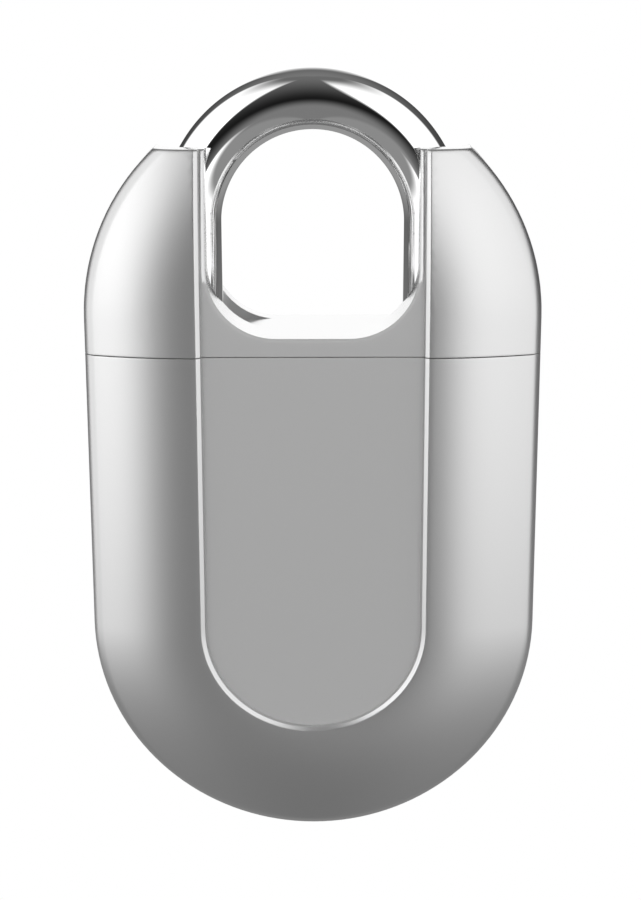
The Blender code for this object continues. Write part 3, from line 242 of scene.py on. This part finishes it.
class Finish:
    """The node tree of a material or a world. One method adds all its nodes."""

    def __init__(self, owner, output="ShaderNodeOutputMaterial"):
        owner.use_nodes = True
        self.owner = owner
        self.tree = owner.node_tree
        self.tree.nodes.clear()
        self.output = self.tree.nodes.new(output)

    def add(self, kind, settings=None, inputs=None, result=0):
        node = self.tree.nodes.new(kind)
        for key, value in (settings or {}).items():
            setattr(node, key, value)
        for key, value in (inputs or {}).items():
            if isinstance(value, Socket):
                self.tree.links.new(value.output, node.inputs[key])
            else:
                node.inputs[key].default_value = value
        return Socket(self, node.outputs[result])

    def split(self, vector):
        first = self.add("ShaderNodeSeparateXYZ", inputs={0: vector})
        return [Socket(self, output) for output in first.output.node.outputs]

    def surface(self, shader):
        self.tree.links.new(shader.output, self.output.inputs["Surface"])
        return self.owner

    def tint(self, dark, light, share):
        """A colour between two others."""
        return self.add("ShaderNodeMix", {"data_type": "RGBA"}, {
            0: share, 6: (*dark, 1.0), 7: (*light, 1.0)}, 2)

    def principled(self, colour, roughness, metallic, height, shade, relief, coat=0.0):
        """A surface whose colour is shaded, and whose relief is raised, by a height map."""
        if not isinstance(colour, Socket):
            dark = [value * (1.0 - shade) for value in colour]
            light = [min(value * (1.0 + shade), 1.0) for value in colour]
            colour = self.tint(dark, light, height)
        inputs = {"Base Color": colour, "Roughness": roughness, "Metallic": metallic,
                  "Coat Weight": coat}
        if relief:
            inputs["Normal"] = self.add("ShaderNodeBump", inputs={
                "Distance": relief, "Height": height})
        return self.surface(self.add("ShaderNodeBsdfPrincipled", inputs=inputs))


def new_finish(name):
    return Finish(bpy.data.materials.new(name))


def varied(name, colour, roughness, metallic=0.0, grain=(0.0002, 0.0002, 0.0002), shade=0.08,
           spread=0.06, relief=0.000002, coat=0.0):
    """A finish with a grain, of the given sizes along each axis, in colour, gloss and relief."""
    finish = new_finish(name)
    place = finish.add("ShaderNodeMapping", inputs={
        "Vector": finish.add("ShaderNodeTexCoord", result="Object"),
        "Scale": [1.0 / size for size in grain]})
    noise = finish.add("ShaderNodeTexNoise", inputs={
        "Vector": place, "Scale": 1.0, "Detail": 3.0, "Roughness": 0.6})
    return finish.principled(colour, roughness + (noise - 0.5) * spread, metallic, noise,
                             shade, relief, coat)


def wound(name):
    """Fine wire wound in turns round the key port's axis."""
    finish = new_finish(name)
    x, y, z = finish.split(finish.add("ShaderNodeTexCoord", result="Object"))
    across = z - PORT_HEIGHT
    radius = (x * x + across * across).math("SQRT")
    layers = (y * (math.tau / WIRE_PITCH)).math("SINE")
    turns = (radius * (math.tau / WIRE_PITCH)).math("SINE") * 0.5 + layers * 0.25 + 0.5
    colour = finish.tint((0.30, 0.10, 0.03), (0.83, 0.42, 0.20), turns)
    return finish.principled(colour, 0.34 - turns * 0.1, 1.0, turns, 0.0, WIRE_PITCH / 4.0, 0.4)


def tracked(name):
    """Green mask over copper tracks."""
    finish = new_finish(name)
    place = finish.add("ShaderNodeTexCoord", result="Object")
    cells = finish.add("ShaderNodeTexVoronoi", {"distance": "CHEBYCHEV", "feature": "F1"}, {
        "Vector": place, "Scale": 1.0 / TRACK_PITCH, "Randomness": 0.9})
    track = cells.ramp(0.42, 0.46)
    colour = finish.tint((0.015, 0.13, 0.045), (0.035, 0.27, 0.09), track)
    return finish.principled(colour, 0.36 - track * 0.06, 0.0, track, 0.0, 0.00002, 0.3)


def sleeved(name):
    """A dark sleeve with one pale stripe down it."""
    finish = new_finish(name)
    place = finish.add("ShaderNodeTexCoord", result="Object")
    stripe = finish.split(place)[0].ramp(*STRIPE_ENDS)
    noise = finish.add("ShaderNodeTexNoise", inputs={"Vector": place, "Scale": 1.0 / SLEEVE_GRAIN})
    colour = finish.tint((0.014, 0.018, 0.045), (0.52, 0.53, 0.56), stripe)
    return finish.principled(colour, 0.26 + noise * 0.08, 0.0, noise, 0.0, 0.000002)


SATIN = varied("satin_body", (0.69, 0.69, 0.69), 0.35, 1.0, shade=0.02, spread=0.04)
CUT = varied("satin_cut", (0.88, 0.88, 0.88), 0.22, 1.0, shade=0.02, spread=0.04, relief=0.0)
PANEL = varied("blasted_panel", (0.68, 0.68, 0.68), 0.80, 1.0, grain=EVEN_FINE, shade=0.03)
CHROME = varied("polished_chrome", (0.93, 0.93, 0.93), 0.025, 1.0, grain=(0.004, 0.004, 0.004),
                shade=0.01, spread=0.02, relief=0.0)
FINISHES = {
    "satin_body": SATIN,
    "polished_chrome": CHROME,
    "hard_steel": varied("hard_steel", (0.30, 0.30, 0.32), 0.36, 1.0, shade=0.15, spread=0.12,
                         grain=(0.0004, 0.0004, 0.0001)),
    "machined_steel": varied("machined_steel", (0.58, 0.58, 0.60), 0.28, 1.0, shade=0.10,
                             spread=0.15, relief=0.000003, grain=TURNED_GRAIN),
    "brass": varied("brass", (0.74, 0.55, 0.26), 0.27, 1.0, shade=0.12, spread=0.12,
                    relief=0.000003, grain=TURNED_GRAIN),
    "black_plastic": varied("black_plastic", (0.022, 0.022, 0.023), 0.42, shade=0.30,
                            spread=0.12, relief=0.000004, grain=(0.0001, 0.0001, 0.0001)),
    "smoked_window": varied("smoked_window", (0.012, 0.012, 0.014), 0.07, shade=0.20,
                            spread=0.03, relief=0.0, coat=0.5, grain=(0.003, 0.003, 0.003)),
    "rubber": varied("rubber", (0.030, 0.030, 0.031), 0.72, shade=0.40, spread=0.15,
                     relief=0.000008),
    "ferrite": varied("ferrite", (0.055, 0.052, 0.050), 0.62, shade=0.50, spread=0.15,
                      relief=0.000006, grain=(0.0001, 0.0001, 0.0001)),
    "red_lead": varied("red_lead", (0.50, 0.025, 0.020), 0.38, shade=0.15, spread=0.10,
                       grain=(0.001, 0.001, 0.001)),
    "copper_winding": wound("copper_winding"),
    "board_green": tracked("board_green"),
    "capacitor_sleeve": sleeved("capacitor_sleeve"),
}


# Form of the body, seen from the front

def from_outline(x, z):
    """Distance inwards from the body's outline."""
    centre = min(max(z, LOWER_CENTRE), UPPER_CENTRE)
    return BODY_RADIUS - math.hypot(x, z - centre)


def from_notch(x, z):
    """Distance into the metal from the wall of the notch."""
    across = abs(x) - NOTCH_FLAT_END
    down = NOTCH_CORNER_HEIGHT - z
    if across > 0.0 and down > 0.0:
        return math.hypot(across, down) - NOTCH_CORNER
    return max(across, down) - NOTCH_CORNER


def crown_fall(distance):
    """How far the crowned face lies under its highest level, with its rounded rim."""
    inwards = max(CROWN_WIDTH - distance, 0.0)
    return inwards * inwards / (2.0 * CROWN_CURVE) + rounding(distance, RIM_ROUND)


def hollow_fall(distance, width, drop):
    """How far the crowned side of the hollow lies under its highest level."""
    share = max(width - distance, 0.0) / width
    return drop * (1.0 - math.sqrt(max(1.0 - share * share, 0.0)))


def recess_fall(radius):
    """How far the recess has sunk at a radius from its middle line: a bevel, then a step."""
    inside = RECESS_RADIUS + BEVEL_BLEND - radius
    start = min(max(inside, 0.0), 2.0 * BEVEL_BLEND)
    bevel = min(max(inside - 2.0 * BEVEL_BLEND, 0.0), BEVEL_WIDTH - BEVEL_BLEND)
    fall = BEVEL_SLOPE * (start * start / (4.0 * BEVEL_BLEND) + bevel)
    step = min(max(inside - BEVEL_WIDTH - BEVEL_BLEND, 0.0) / STEP_WIDTH, 1.0)
    return fall + step * (RECESS_DROP - fall)


def recess_reach(x, z):
    """Distance from the recess's middle line, with its lower end drawn in."""
    below = min(z - LOWER_CENTRE, 0.0)
    return math.hypot(x, below * RECESS_RADIUS / RECESS_END)


def rounding(distance, radius, width=None):
    """How far a rounded edge of a width falls back at a distance inside it."""
    inside = max((width or radius) - distance, 0.0)
    return radius - math.sqrt(max(radius * radius - inside * inside, 0.0))


def round_distances(radius, steps=ROUND_STEPS):
    """Distances from a rounded edge at which its curve is sampled."""
    angles = [math.radians(90.0 * step / steps) for step in range(1, steps + 1)]
    return [radius * (1.0 - math.cos(angle)) for angle in angles]


def hollow_distances(width):
    angles = [math.radians(90.0 * step / CROWN_STEPS) for step in range(1, CROWN_STEPS + 1)]
    return [width * (1.0 - math.cos(angle)) for angle in angles]


def recess_radii():
    """Radii at which the recess's edge is sampled, from its top to its foot."""
    shares = [2.0 * step / BLEND_STEPS - 1.0 for step in range(BLEND_STEPS + 1)]
    curve = [RECESS_RADIUS - share * BEVEL_BLEND for share in shares]
    return curve + [RECESS_RADIUS - BEVEL_WIDTH, DECK_RADIUS]


# Mesh helpers

def smooth(bm):
    """Turn faces outwards and smooth them, with an edge kept sharp where they meet steeply."""
    bmesh.ops.recalc_face_normals(bm, faces=bm.faces)
    for face in bm.faces:
        face.smooth = True
    for edge in bm.edges:
        edge.smooth = edge.calc_face_angle(math.pi) < math.radians(SHARP_DEGREES)


def new_object(name, bm, mat):
    """A smoothed object at the origin from a bmesh."""
    smooth(bm)
    mesh = bpy.data.meshes.new(name)
    bm.to_mesh(mesh)
    bm.free()
    obj = bpy.data.objects.new(name, mesh)
    bpy.context.scene.collection.objects.link(obj)
    obj.data.materials.append(mat)
    return obj


def rod(name, radius, low, high, place):
    """An upright closed cylinder."""
    bm = bmesh.new()
    bmesh.ops.create_cone(bm, cap_ends=True, segments=BORE_SEGMENTS, radius1=radius,
                          radius2=radius, depth=high - low)
    bmesh.ops.translate(bm, vec=(*place, (low + high) / 2.0), verts=bm.verts)
    return new_object(name, bm, SATIN)


def block(name, corners):
    """A closed box between two opposite corners."""
    low, high = Vector(corners[0]), Vector(corners[1])
    bm = bmesh.new()
    bmesh.ops.create_cube(bm, size=1.0)
    bmesh.ops.scale(bm, vec=high - low, verts=bm.verts)
    bmesh.ops.translate(bm, vec=(low + high) / 2.0, verts=bm.verts)
    return new_object(name, bm, SATIN)


def swung_way(low, high):
    """The toe leg's way out to the back, swung about the heel leg's axis."""
    bm = bmesh.new()
    bmesh.ops.create_grid(bm, x_segments=1, y_segments=1, size=1.0)
    bmesh.ops.rotate(bm, verts=bm.verts, matrix=Matrix.Rotation(math.radians(90.0), 3, "X"))
    bmesh.ops.scale(bm, vec=(BORE_RADIUS, 1.0, (high - low) / 2.0), verts=bm.verts)
    bmesh.ops.translate(bm, vec=(LEG_X, 0.0, (low + high) / 2.0), verts=bm.verts)
    section = bm.verts[:] + bm.edges[:] + bm.faces[:]
    bmesh.ops.spin(bm, geom=section, cent=(-LEG_X, 0.0, 0.0), axis=UPWARDS,
                   angle=math.radians(WAY_DEGREES), steps=WAY_STEPS)
    bmesh.ops.remove_doubles(bm, verts=bm.verts, dist=WELD)
    return new_object("way", bm, SATIN)


def cut(target, cutter, operation="DIFFERENCE"):
    """Apply a Boolean with the cutter to the target, and take the cutter out of the scene."""
    step = target.modifiers.new("cut", "BOOLEAN")
    step.operation = operation
    step.solver = "EXACT"
    step.object = cutter
    graph = bpy.context.evaluated_depsgraph_get()
    graph.update()
    mesh = bpy.data.meshes.new_from_object(target.evaluated_get(graph))
    target.modifiers.clear()
    target.data = mesh
    bpy.data.objects.remove(cutter, do_unlink=True)


def smooth_again(obj):
    """Smooth an object after its cuts."""
    bm = bmesh.new()
    bm.from_mesh(obj.data)
    smooth(bm)
    bm.to_mesh(obj.data)
    bm.free()


def score(bm, faces, point, normal):
    """Divide faces along a plane, and give all the faces that result."""
    geometry = set(faces)
    for face in faces:
        geometry.update(face.edges)
        geometry.update(face.verts)
    result = bmesh.ops.bisect_plane(bm, geom=list(geometry), dist=WELD, plane_co=point,
                                    plane_no=normal)
    return [item for item in result["geom"] if isinstance(item, bmesh.types.BMFace)]


def trim(bm, height, direction):
    """Drop what lies beyond a height."""
    bmesh.ops.bisect_plane(bm, geom=bm.verts[:] + bm.edges[:] + bm.faces[:], dist=WELD,
                           plane_co=(0.0, 0.0, height), plane_no=(0.0, 0.0, direction),
                           clear_outer=True)


def stadium_sheet(radius):
    """A flat sheet in the plane y = 0 with the body's outline."""
    bm = bmesh.new()
    start = bm.verts.new((-radius, 0.0, LOWER_CENTRE))
    spun = bmesh.ops.spin(bm, geom=[start], cent=(0.0, 0.0, LOWER_CENTRE), axis=(0.0, -1.0, 0.0),
                          angle=math.pi, steps=ARC_STEPS)
    corner = next(item for item in spun["geom_last"] if isinstance(item, bmesh.types.BMVert))
    raised = bmesh.ops.extrude_vert_indiv(bm, verts=[corner])["verts"][0]
    raised.co.z = UPPER_CENTRE
    spun = bmesh.ops.spin(bm, geom=[raised], cent=(0.0, 0.0, UPPER_CENTRE), axis=(0.0, -1.0, 0.0),
                          angle=math.pi, steps=ARC_STEPS)
    end = next(item for item in spun["geom_last"] if isinstance(item, bmesh.types.BMVert))
    bm.edges.new((end, start))
    bmesh.ops.edgeloop_fill(bm, edges=bm.edges)
    return bm


def body_distances():
    """Where the rim, the crown and the recess are sampled, inwards from the outline."""
    rim = round_distances(RIM_ROUND, RIM_STEPS)
    recess = [BODY_RADIUS - radius for radius in recess_radii()]
    spacing = (recess[0] - RIM_ROUND) / CROWN_STEPS
    crown = [RIM_ROUND + step * spacing for step in range(1, CROWN_STEPS)]
    return rim + crown + recess


def body_sheet():
    """The body's outline with all its rings, those of the recess drawn in at their lower end."""
    bm = ring_sheet(BODY_RADIUS, body_distances())
    edge = BODY_RADIUS - recess_radii()[0] - WELD
    for vert in bm.verts:
        if vert.co.z < LOWER_CENTRE and from_outline(vert.co.x, vert.co.z) > edge:
            vert.co.z = LOWER_CENTRE + (vert.co.z - LOWER_CENTRE) * RECESS_END / RECESS_RADIUS
    return bm


def ring_sheet(radius, distances):
    """A stadium sheet with a ring of edges at each distance inwards."""
    bm = stadium_sheet(radius)
    bm.faces.ensure_lookup_table()
    middle = bm.faces[0]
    reached = 0.0
    for distance in distances:
        bmesh.ops.inset_region(bm, faces=[middle], thickness=distance - reached,
                               use_even_offset=True, use_boundary=True)
        reached = distance
    return bm


def faces_above(bm, height):
    return [face for face in bm.faces if face.calc_center_median().z > height]


def score_notch(bm):
    """Divide the sheet along the notch and the curve of its rim, and open the notch."""
    offsets = [0.0] + round_distances(NOTCH_ROUND)
    score(bm, bm.faces[:], (0.0, 0.0, NOTCH_CORNER_HEIGHT), UPWARDS)
    for side in (-1, 1):
        score(bm, bm.faces[:], (side * NOTCH_FLAT_END, 0.0, 0.0), SIDEWAYS)
        for offset in offsets:
            score(bm, faces_above(bm, NOTCH_CORNER_HEIGHT),
                  (side * (NOTCH_HALF + offset), 0.0, 0.0), SIDEWAYS)
    for offset in offsets:
        flat = [face for face in bm.faces if abs(face.calc_center_median().x) < NOTCH_FLAT_END]
        score(bm, flat, (0.0, 0.0, NOTCH_FLOOR - offset), UPWARDS)
    for side in (-1, 1):
        centre = Vector((side * NOTCH_FLAT_END, 0.0, NOTCH_CORNER_HEIGHT))
        score_corner(bm, side, centre, offsets)
    inside = [face for face in bm.faces
              if from_notch(face.calc_center_median().x, face.calc_center_median().z) < 0.0]
    bmesh.ops.delete(bm, geom=inside, context="FACES")


def score_corner(bm, side, centre, offsets):
    """Divide one corner of the notch into wedges, and each wedge along the corner's arcs."""
    def direction(angle):
        return Vector((side * math.cos(angle), 0.0, -math.sin(angle)))

    def reach(face, line):
        return (face.calc_center_median() - centre).dot(line)

    step = math.radians(90.0) / CORNER_STEPS
    outwards, downwards = direction(0.0), direction(math.radians(90.0))
    faces = [face for face in bm.faces if reach(face, outwards) > 0.0 < reach(face, downwards)]
    for index in range(1, CORNER_STEPS):
        line = direction(index * step)
        normal = Vector((line.z, 0.0, -line.x))
        faces = score(bm, faces, centre, normal)
    for index in range(CORNER_STEPS):
        middle = direction((index + 0.5) * step)
        across = Vector((middle.z, 0.0, -middle.x))
        limit = math.tan(step / 2.0)
        wedge = [face for face in faces if face.is_valid
                 and abs(reach(face, across)) < limit * reach(face, middle)]
        for offset in offsets:
            chord = (NOTCH_CORNER + offset) * math.cos(step / 2.0)
            wedge = score(bm, wedge, centre + middle * chord, middle)


def close_sheet(bm, half_depth):
    """Push the sheet out to the front, mirror it for the back, and join the two by walls."""
    for vert in bm.verts:
        vert.co.y = -half_depth(vert.co.x, vert.co.z)
    copy = bmesh.ops.duplicate(bm, geom=bm.verts[:] + bm.edges[:] + bm.faces[:])["geom"]
    back = [item for item in copy if isinstance(item, bmesh.types.BMVert)]
    bmesh.ops.scale(bm, vec=(1.0, -1.0, 1.0), verts=back)
    rims = [edge for edge in bm.edges if edge.is_boundary]
    bmesh.ops.bridge_loops(bm, edges=rims)
    bmesh.ops.recalc_face_normals(bm, faces=bm.faces)
    return bm


def face_depth(x, z):
    fall = recess_fall(recess_reach(x, z))
    return HALF_DEPTH - fall - crown_fall(from_outline(x, z))


def upper_form():
    low = SEAM + SEAM_GAP / 2.0

    def half_depth(x, z):
        fall = rounding(from_notch(x, z), NOTCH_CURVE, NOTCH_ROUND)
        fall += rounding(HORN_TOP - z, TOP_ROUND)
        return face_depth(x, z) - fall - rounding(z - low, SEAM_ROUND)

    bm = body_sheet()
    trim(bm, low, -1.0)
    trim(bm, HORN_TOP, 1.0)
    for radius in recess_radii():
        for side in (-1, 1):
            score(bm, faces_above(bm, UPPER_CENTRE), (side * radius, 0.0, 0.0), SIDEWAYS)
    score_notch(bm)
    for distance in round_distances(TOP_ROUND):
        score(bm, faces_above(bm, BOW_CENTRE), (0.0, 0.0, HORN_TOP - distance), UPWARDS)
    for distance in (*round_distances(SEAM_ROUND), *SEAM_RINGS):
        score(bm, bm.faces[:], (0.0, 0.0, low + distance), UPWARDS)
    return close_sheet(bm, half_depth)


def lower_form():
    high = SEAM - SEAM_GAP / 2.0

    def half_depth(x, z):
        return face_depth(x, z) - rounding(high - z, SEAM_ROUND)

    bm = body_sheet()
    trim(bm, high, 1.0)
    for distance in (*round_distances(SEAM_ROUND), *SEAM_RINGS):
        score(bm, bm.faces[:], (0.0, 0.0, high - distance), UPWARDS)
    return close_sheet(bm, half_depth)


def hollow_form(sizes, low, growth=0.0):
    """The space inside the lower shell, from a height upwards past its rim."""
    radius, half, width, drop = sizes
    radius, half = radius + growth, half + growth

    def half_depth(x, z):
        centre = min(max(z, LOWER_CENTRE), UPPER_CENTRE)
        return half - hollow_fall(radius - math.hypot(x, z - centre), width, drop)

    bm = ring_sheet(radius, hollow_distances(width))
    trim(bm, low, -1.0)
    trim(bm, SEAM + OVERRUN, 1.0)
    return close_sheet(bm, half_depth)


def finish_faces(obj):
    """The recessed deck blasted, and the notch's floor and walls and the horns' tops smoother."""
    obj.data.materials.append(PANEL)
    obj.data.materials.append(CUT)
    for face in obj.data.polygons:
        x, y, z = face.center
        deck = recess_reach(x, z) < DECK_RADIUS and abs(y) > DECK_START
        rim = from_notch(x, z) < NOTCH_ROUND and z > RIM_START
        inner = from_outline(x, z) > RIM_ROUND or z > HORN_TOP - WELD
        if deck and not rim and abs(face.normal.y) > LEAN:
            face.material_index = 1
        elif inner and z > NOTCH_START and abs(face.normal.y) < LEAN:
            face.material_index = 2


def make_upper_shell():
    obj = new_object("upper_shell", upper_form(), SATIN)
    low, high = SEAM - OVERRUN, HORN_TOP + OVERRUN
    cut(obj, rod("heel_bore", BORE_RADIUS, low, high, (-LEG_X, 0.0)))
    cut(obj, rod("toe_bore", BORE_RADIUS, low, high, (LEG_X, 0.0)))
    cut(obj, swung_way(low, high))
    inner, outer = HORN_REARS
    rear_trims = (((-outer, 0.0, HORN_REAR_TOP), (-inner, BEHIND, ABOVE)),
                  ((inner, 0.0, HORN_REAR_TOP), (outer, BEHIND, ABOVE)))
    for corners in (BOW_WAY, TOE_GAP, HEEL_SLOT, SWING_RELIEF, *rear_trims):
        cut(obj, block("opening", corners))
    for side in (-1, 1):
        cut(obj, rod("screw_hole", SCREW_HOLE_RADIUS, low, SCREW_HOLE_TOP,
                     (side * SCREW_X, 0.0)))
    smooth_again(obj)
    finish_faces(obj)
    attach(obj, "housing")
    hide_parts("upper_housing")


def copy_of_node(name):
    """The CAD node's surface as a new object, merged."""
    bm = bmesh.new()
    bm.from_mesh(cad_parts[name].data)
    bmesh.ops.remove_doubles(bm, verts=bm.verts, dist=WELD)
    return new_object(name + "_copy", bm, SATIN)


def make_lower_shell():
    obj = new_object("lower_shell", lower_form(), SATIN)
    cut(obj, new_object("cavity", hollow_form(CAVITY, 0.0, LINING), SATIN))
    cut(obj, new_object("rebate", hollow_form(REBATE, REBATE_FLOOR), SATIN))
    lining = copy_of_node("lower_housing")
    cut(lining, new_object("cavity", hollow_form(CAVITY, 0.0, 2.0 * LINING), SATIN), "INTERSECT")
    cut(obj, lining, "UNION")
    cut(obj, swung_way(TOE_WAY_FLOOR, SEAM + OVERRUN))
    cut(obj, rod("toe_bore", BORE_RADIUS, TOE_WAY_FLOOR, SEAM + OVERRUN, (LEG_X, 0.0)))
    hole = rod("port_hole", PORT_HOLE_RADIUS, 0.0, 2.0 * HALF_DEPTH, (0.0, 0.0))
    hole.data.transform(Matrix.Translation((0.0, 0.0, PORT_HEIGHT))
                        @ Matrix.Rotation(math.radians(-90.0), 4, "X"))
    cut(obj, hole)
    smooth_again(obj)
    finish_faces(obj)
    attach(obj, "housing")
    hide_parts("lower_housing")


# Shackle and key port

def turned(profile, closed):
    """A profile of distances from the upright axis and along it, turned once round the axis."""
    bm = bmesh.new()
    points = [bm.verts.new((across, 0.0, along)) for across, along in profile]
    following = points[1:] + (points[:1] if closed else [])
    for first, second in zip(points, following):
        if first.co.x > 0.0 or second.co.x > 0.0:
            bm.edges.new((first, second))
    bmesh.ops.spin(bm, geom=bm.verts[:] + bm.edges[:], cent=(0.0, 0.0, 0.0), axis=UPWARDS,
                   angle=math.tau, steps=WIRE_SEGMENTS, use_merge=True)
    bmesh.ops.remove_doubles(bm, verts=bm.verts, dist=WELD)
    return bm


def groove_profile(low, high, radius):
    """A groove round the heel leg, with its outer edges broken."""
    return [(WIRE_RADIUS, low - EDGE_CHAMFER), (WIRE_RADIUS - EDGE_CHAMFER, low), (radius, low),
            (radius, high), (WIRE_RADIUS - EDGE_CHAMFER, high), (WIRE_RADIUS, high + EDGE_CHAMFER)]


def shackle_form():
    """The heel leg turned from its profile, swept over the bow and down the toe leg."""
    grooves = [(*CLIP_GROOVE, CLIP_GROOVE_RADIUS)]
    grooves += [(height - GROOVE_HALF, height + GROOVE_HALF, GROOVE_RADIUS)
                for height in GROOVE_HEIGHTS]
    profile = [(0.0, HEEL_END), (WIRE_RADIUS - NOSE_CHAMFER, HEEL_END),
               (WIRE_RADIUS, HEEL_END + NOSE_CHAMFER)]
    for low, high, radius in grooves:
        profile += groove_profile(low, high, radius)
    profile.append((WIRE_RADIUS, BOW_CENTRE))
    bm = turned(profile, False)
    bmesh.ops.translate(bm, vec=(-LEG_X, 0.0, 0.0), verts=bm.verts)
    rim = [edge for edge in bm.edges if edge.is_boundary]
    spun = bmesh.ops.spin(bm, geom=rim, cent=(0.0, 0.0, BOW_CENTRE), axis=(0.0, 1.0, 0.0),
                          angle=math.pi, steps=BOW_STEPS)
    rim = [item for item in spun["geom_last"] if isinstance(item, bmesh.types.BMEdge)]
    for height, radius in ((TOE_END + NOSE_CHAMFER, WIRE_RADIUS),
                           (TOE_END, WIRE_RADIUS - NOSE_CHAMFER)):
        result = bmesh.ops.extrude_edge_only(bm, edges=rim)["geom"]
        rim = [item for item in result if isinstance(item, bmesh.types.BMEdge)]
        for vert in {vert for edge in rim for vert in edge.verts}:
            vert.co.z = height
            vert.co.x = LEG_X + (vert.co.x - LEG_X) * radius / WIRE_RADIUS
            vert.co.y *= radius / WIRE_RADIUS
    bmesh.ops.edgeloop_fill(bm, edges=rim)
    return bm


def make_shackle():
    obj = new_object("shackle_wire", shackle_form(), CHROME)
    pin = rod("toe_notch", GROOVE_HALF, *TOE_NOTCH_ENDS, (0.0, 0.0))
    pin.data.transform(Matrix.Translation((0.0, 0.0, PIN_HEIGHT))
                       @ Matrix.Rotation(math.radians(90.0), 4, "Y"))
    cut(obj, pin)
    smooth_again(obj)
    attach(obj, "shackle")
    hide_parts("shackle")


def make_port():
    for name, profile, finish, node in (
            ("port_bezel", PORT_PROFILE, "black_plastic", "port_ring"),
            ("port_lens", WINDOW_PROFILE, "smoked_window", "port_window")):
        bm = turned(profile, True)
        bmesh.ops.rotate(bm, verts=bm.verts, matrix=Matrix.Rotation(math.radians(-90.0), 3, "X"))
        bmesh.ops.translate(bm, vec=(0.0, 0.0, PORT_HEIGHT), verts=bm.verts)
        obj = new_object(name, bm, FINISHES[finish])
        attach(obj, "housing")
        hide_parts(node)


# Camera, floor and light

def add_world():
    """A studio seen in every direction: two tall soft boxes, a low one behind, and grey."""
    studio = Finish(bpy.data.worlds.new("studio"), "ShaderNodeOutputWorld")
    x, y, z = studio.split(studio.add("ShaderNodeTexCoord", result="Generated"))
    turn = x.math("ARCTAN2", y * -1.0) * DEGREES
    tilt = z.math("ARCSINE") * DEGREES
    aside = turn.math("ABSOLUTE")
    rear = aside.ramp(*REAR_TURNS)
    ground = tilt.ramp(*GROUND_TILTS)
    total = tilt.ramp(0.0, 90.0) * SKY_LIGHT + SKY_BASE + rear * REAR_LIGHT
    total = total + ground * (GROUND_LIGHT + aside.ramp(*SIDE_TURNS) * SIDE_GROUND_LIGHT)
    height = tilt.ramp(*BOX_BOTTOM) * tilt.ramp(*BOX_TOP)
    bright = tilt.ramp(*BRIGHT_BOTTOM) * tilt.ramp(*BRIGHT_TOP)
    low = tilt.ramp(*LOW_TILTS)
    for near, far, drawn_in, bright_end, extra in BOXES:
        side = math.copysign(1.0, far - near)
        soft, far_soft = side * BOX_NEAR_SOFT, side * BOX_FAR_SOFT
        outer = turn - low * drawn_in
        width = turn.ramp(near - soft, near + soft) * outer.ramp(far + far_soft, far - far_soft)
        light = BOX_LIGHT + bright * turn.ramp(bright_end, near) * extra
        total = total + height * width * light
    behind = aside.ramp(*BACK_TURNS) * tilt.ramp(*BACK_BOTTOM) * tilt.ramp(*BACK_TOP)
    total = total + behind * BACK_LIGHT
    camera = studio.add("ShaderNodeLightPath", result="Is Camera Ray")
    bpy.context.scene.world = studio.surface(studio.add("ShaderNodeBackground", inputs={
        "Color": (1.0, 1.0, 1.0, 1.0), "Strength": total + camera * (1.0 - total)}))


def add_floor():
    """A floor that the camera sees white, and that reflections see through."""
    bm = bmesh.new()
    bmesh.ops.create_grid(bm, x_segments=1, y_segments=1, size=FLOOR_SIZE / 2.0)
    finish = new_finish("floor")
    white = finish.add("ShaderNodeEmission")
    grey = finish.add("ShaderNodeBsdfDiffuse", inputs={"Color": (0.5, 0.5, 0.5, 1.0)})
    clear = finish.add("ShaderNodeBsdfTransparent")
    glossy = finish.add("ShaderNodeLightPath", result="Is Glossy Ray")
    camera = finish.add("ShaderNodeLightPath", result="Is Camera Ray")
    other = finish.add("ShaderNodeMixShader", inputs={0: glossy, 1: grey, 2: clear})
    new_object("floor", bm, finish.surface(finish.add(
        "ShaderNodeMixShader", inputs={0: camera, 1: other, 2: white})))


def add_camera():
    data = bpy.data.cameras.new("view")
    data.lens = CAMERA_LENS
    camera = bpy.data.objects.new("view", data)
    camera.location = CAMERA_PLACE
    pitch = Matrix.Rotation(math.radians(90.0 - CAMERA_PITCH), 4, "X")
    roll = Matrix.Rotation(math.radians(CAMERA_ROLL), 4, "Z")
    camera.rotation_euler = (pitch @ roll).to_euler()
    bpy.context.scene.collection.objects.link(camera)
    bpy.context.scene.camera = camera


def dress():
    """Give every slot of the CAD nodes its finish."""
    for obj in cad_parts.values():
        for index, slot in enumerate(obj.data.materials):
            obj.data.materials[index] = FINISHES[slot.name.split(".")[0]]


add_camera()
add_world()
add_floor()
dress()
make_upper_shell()
make_lower_shell()
make_shackle()
make_port()
bpy.context.scene.view_settings.view_transform = "Standard"
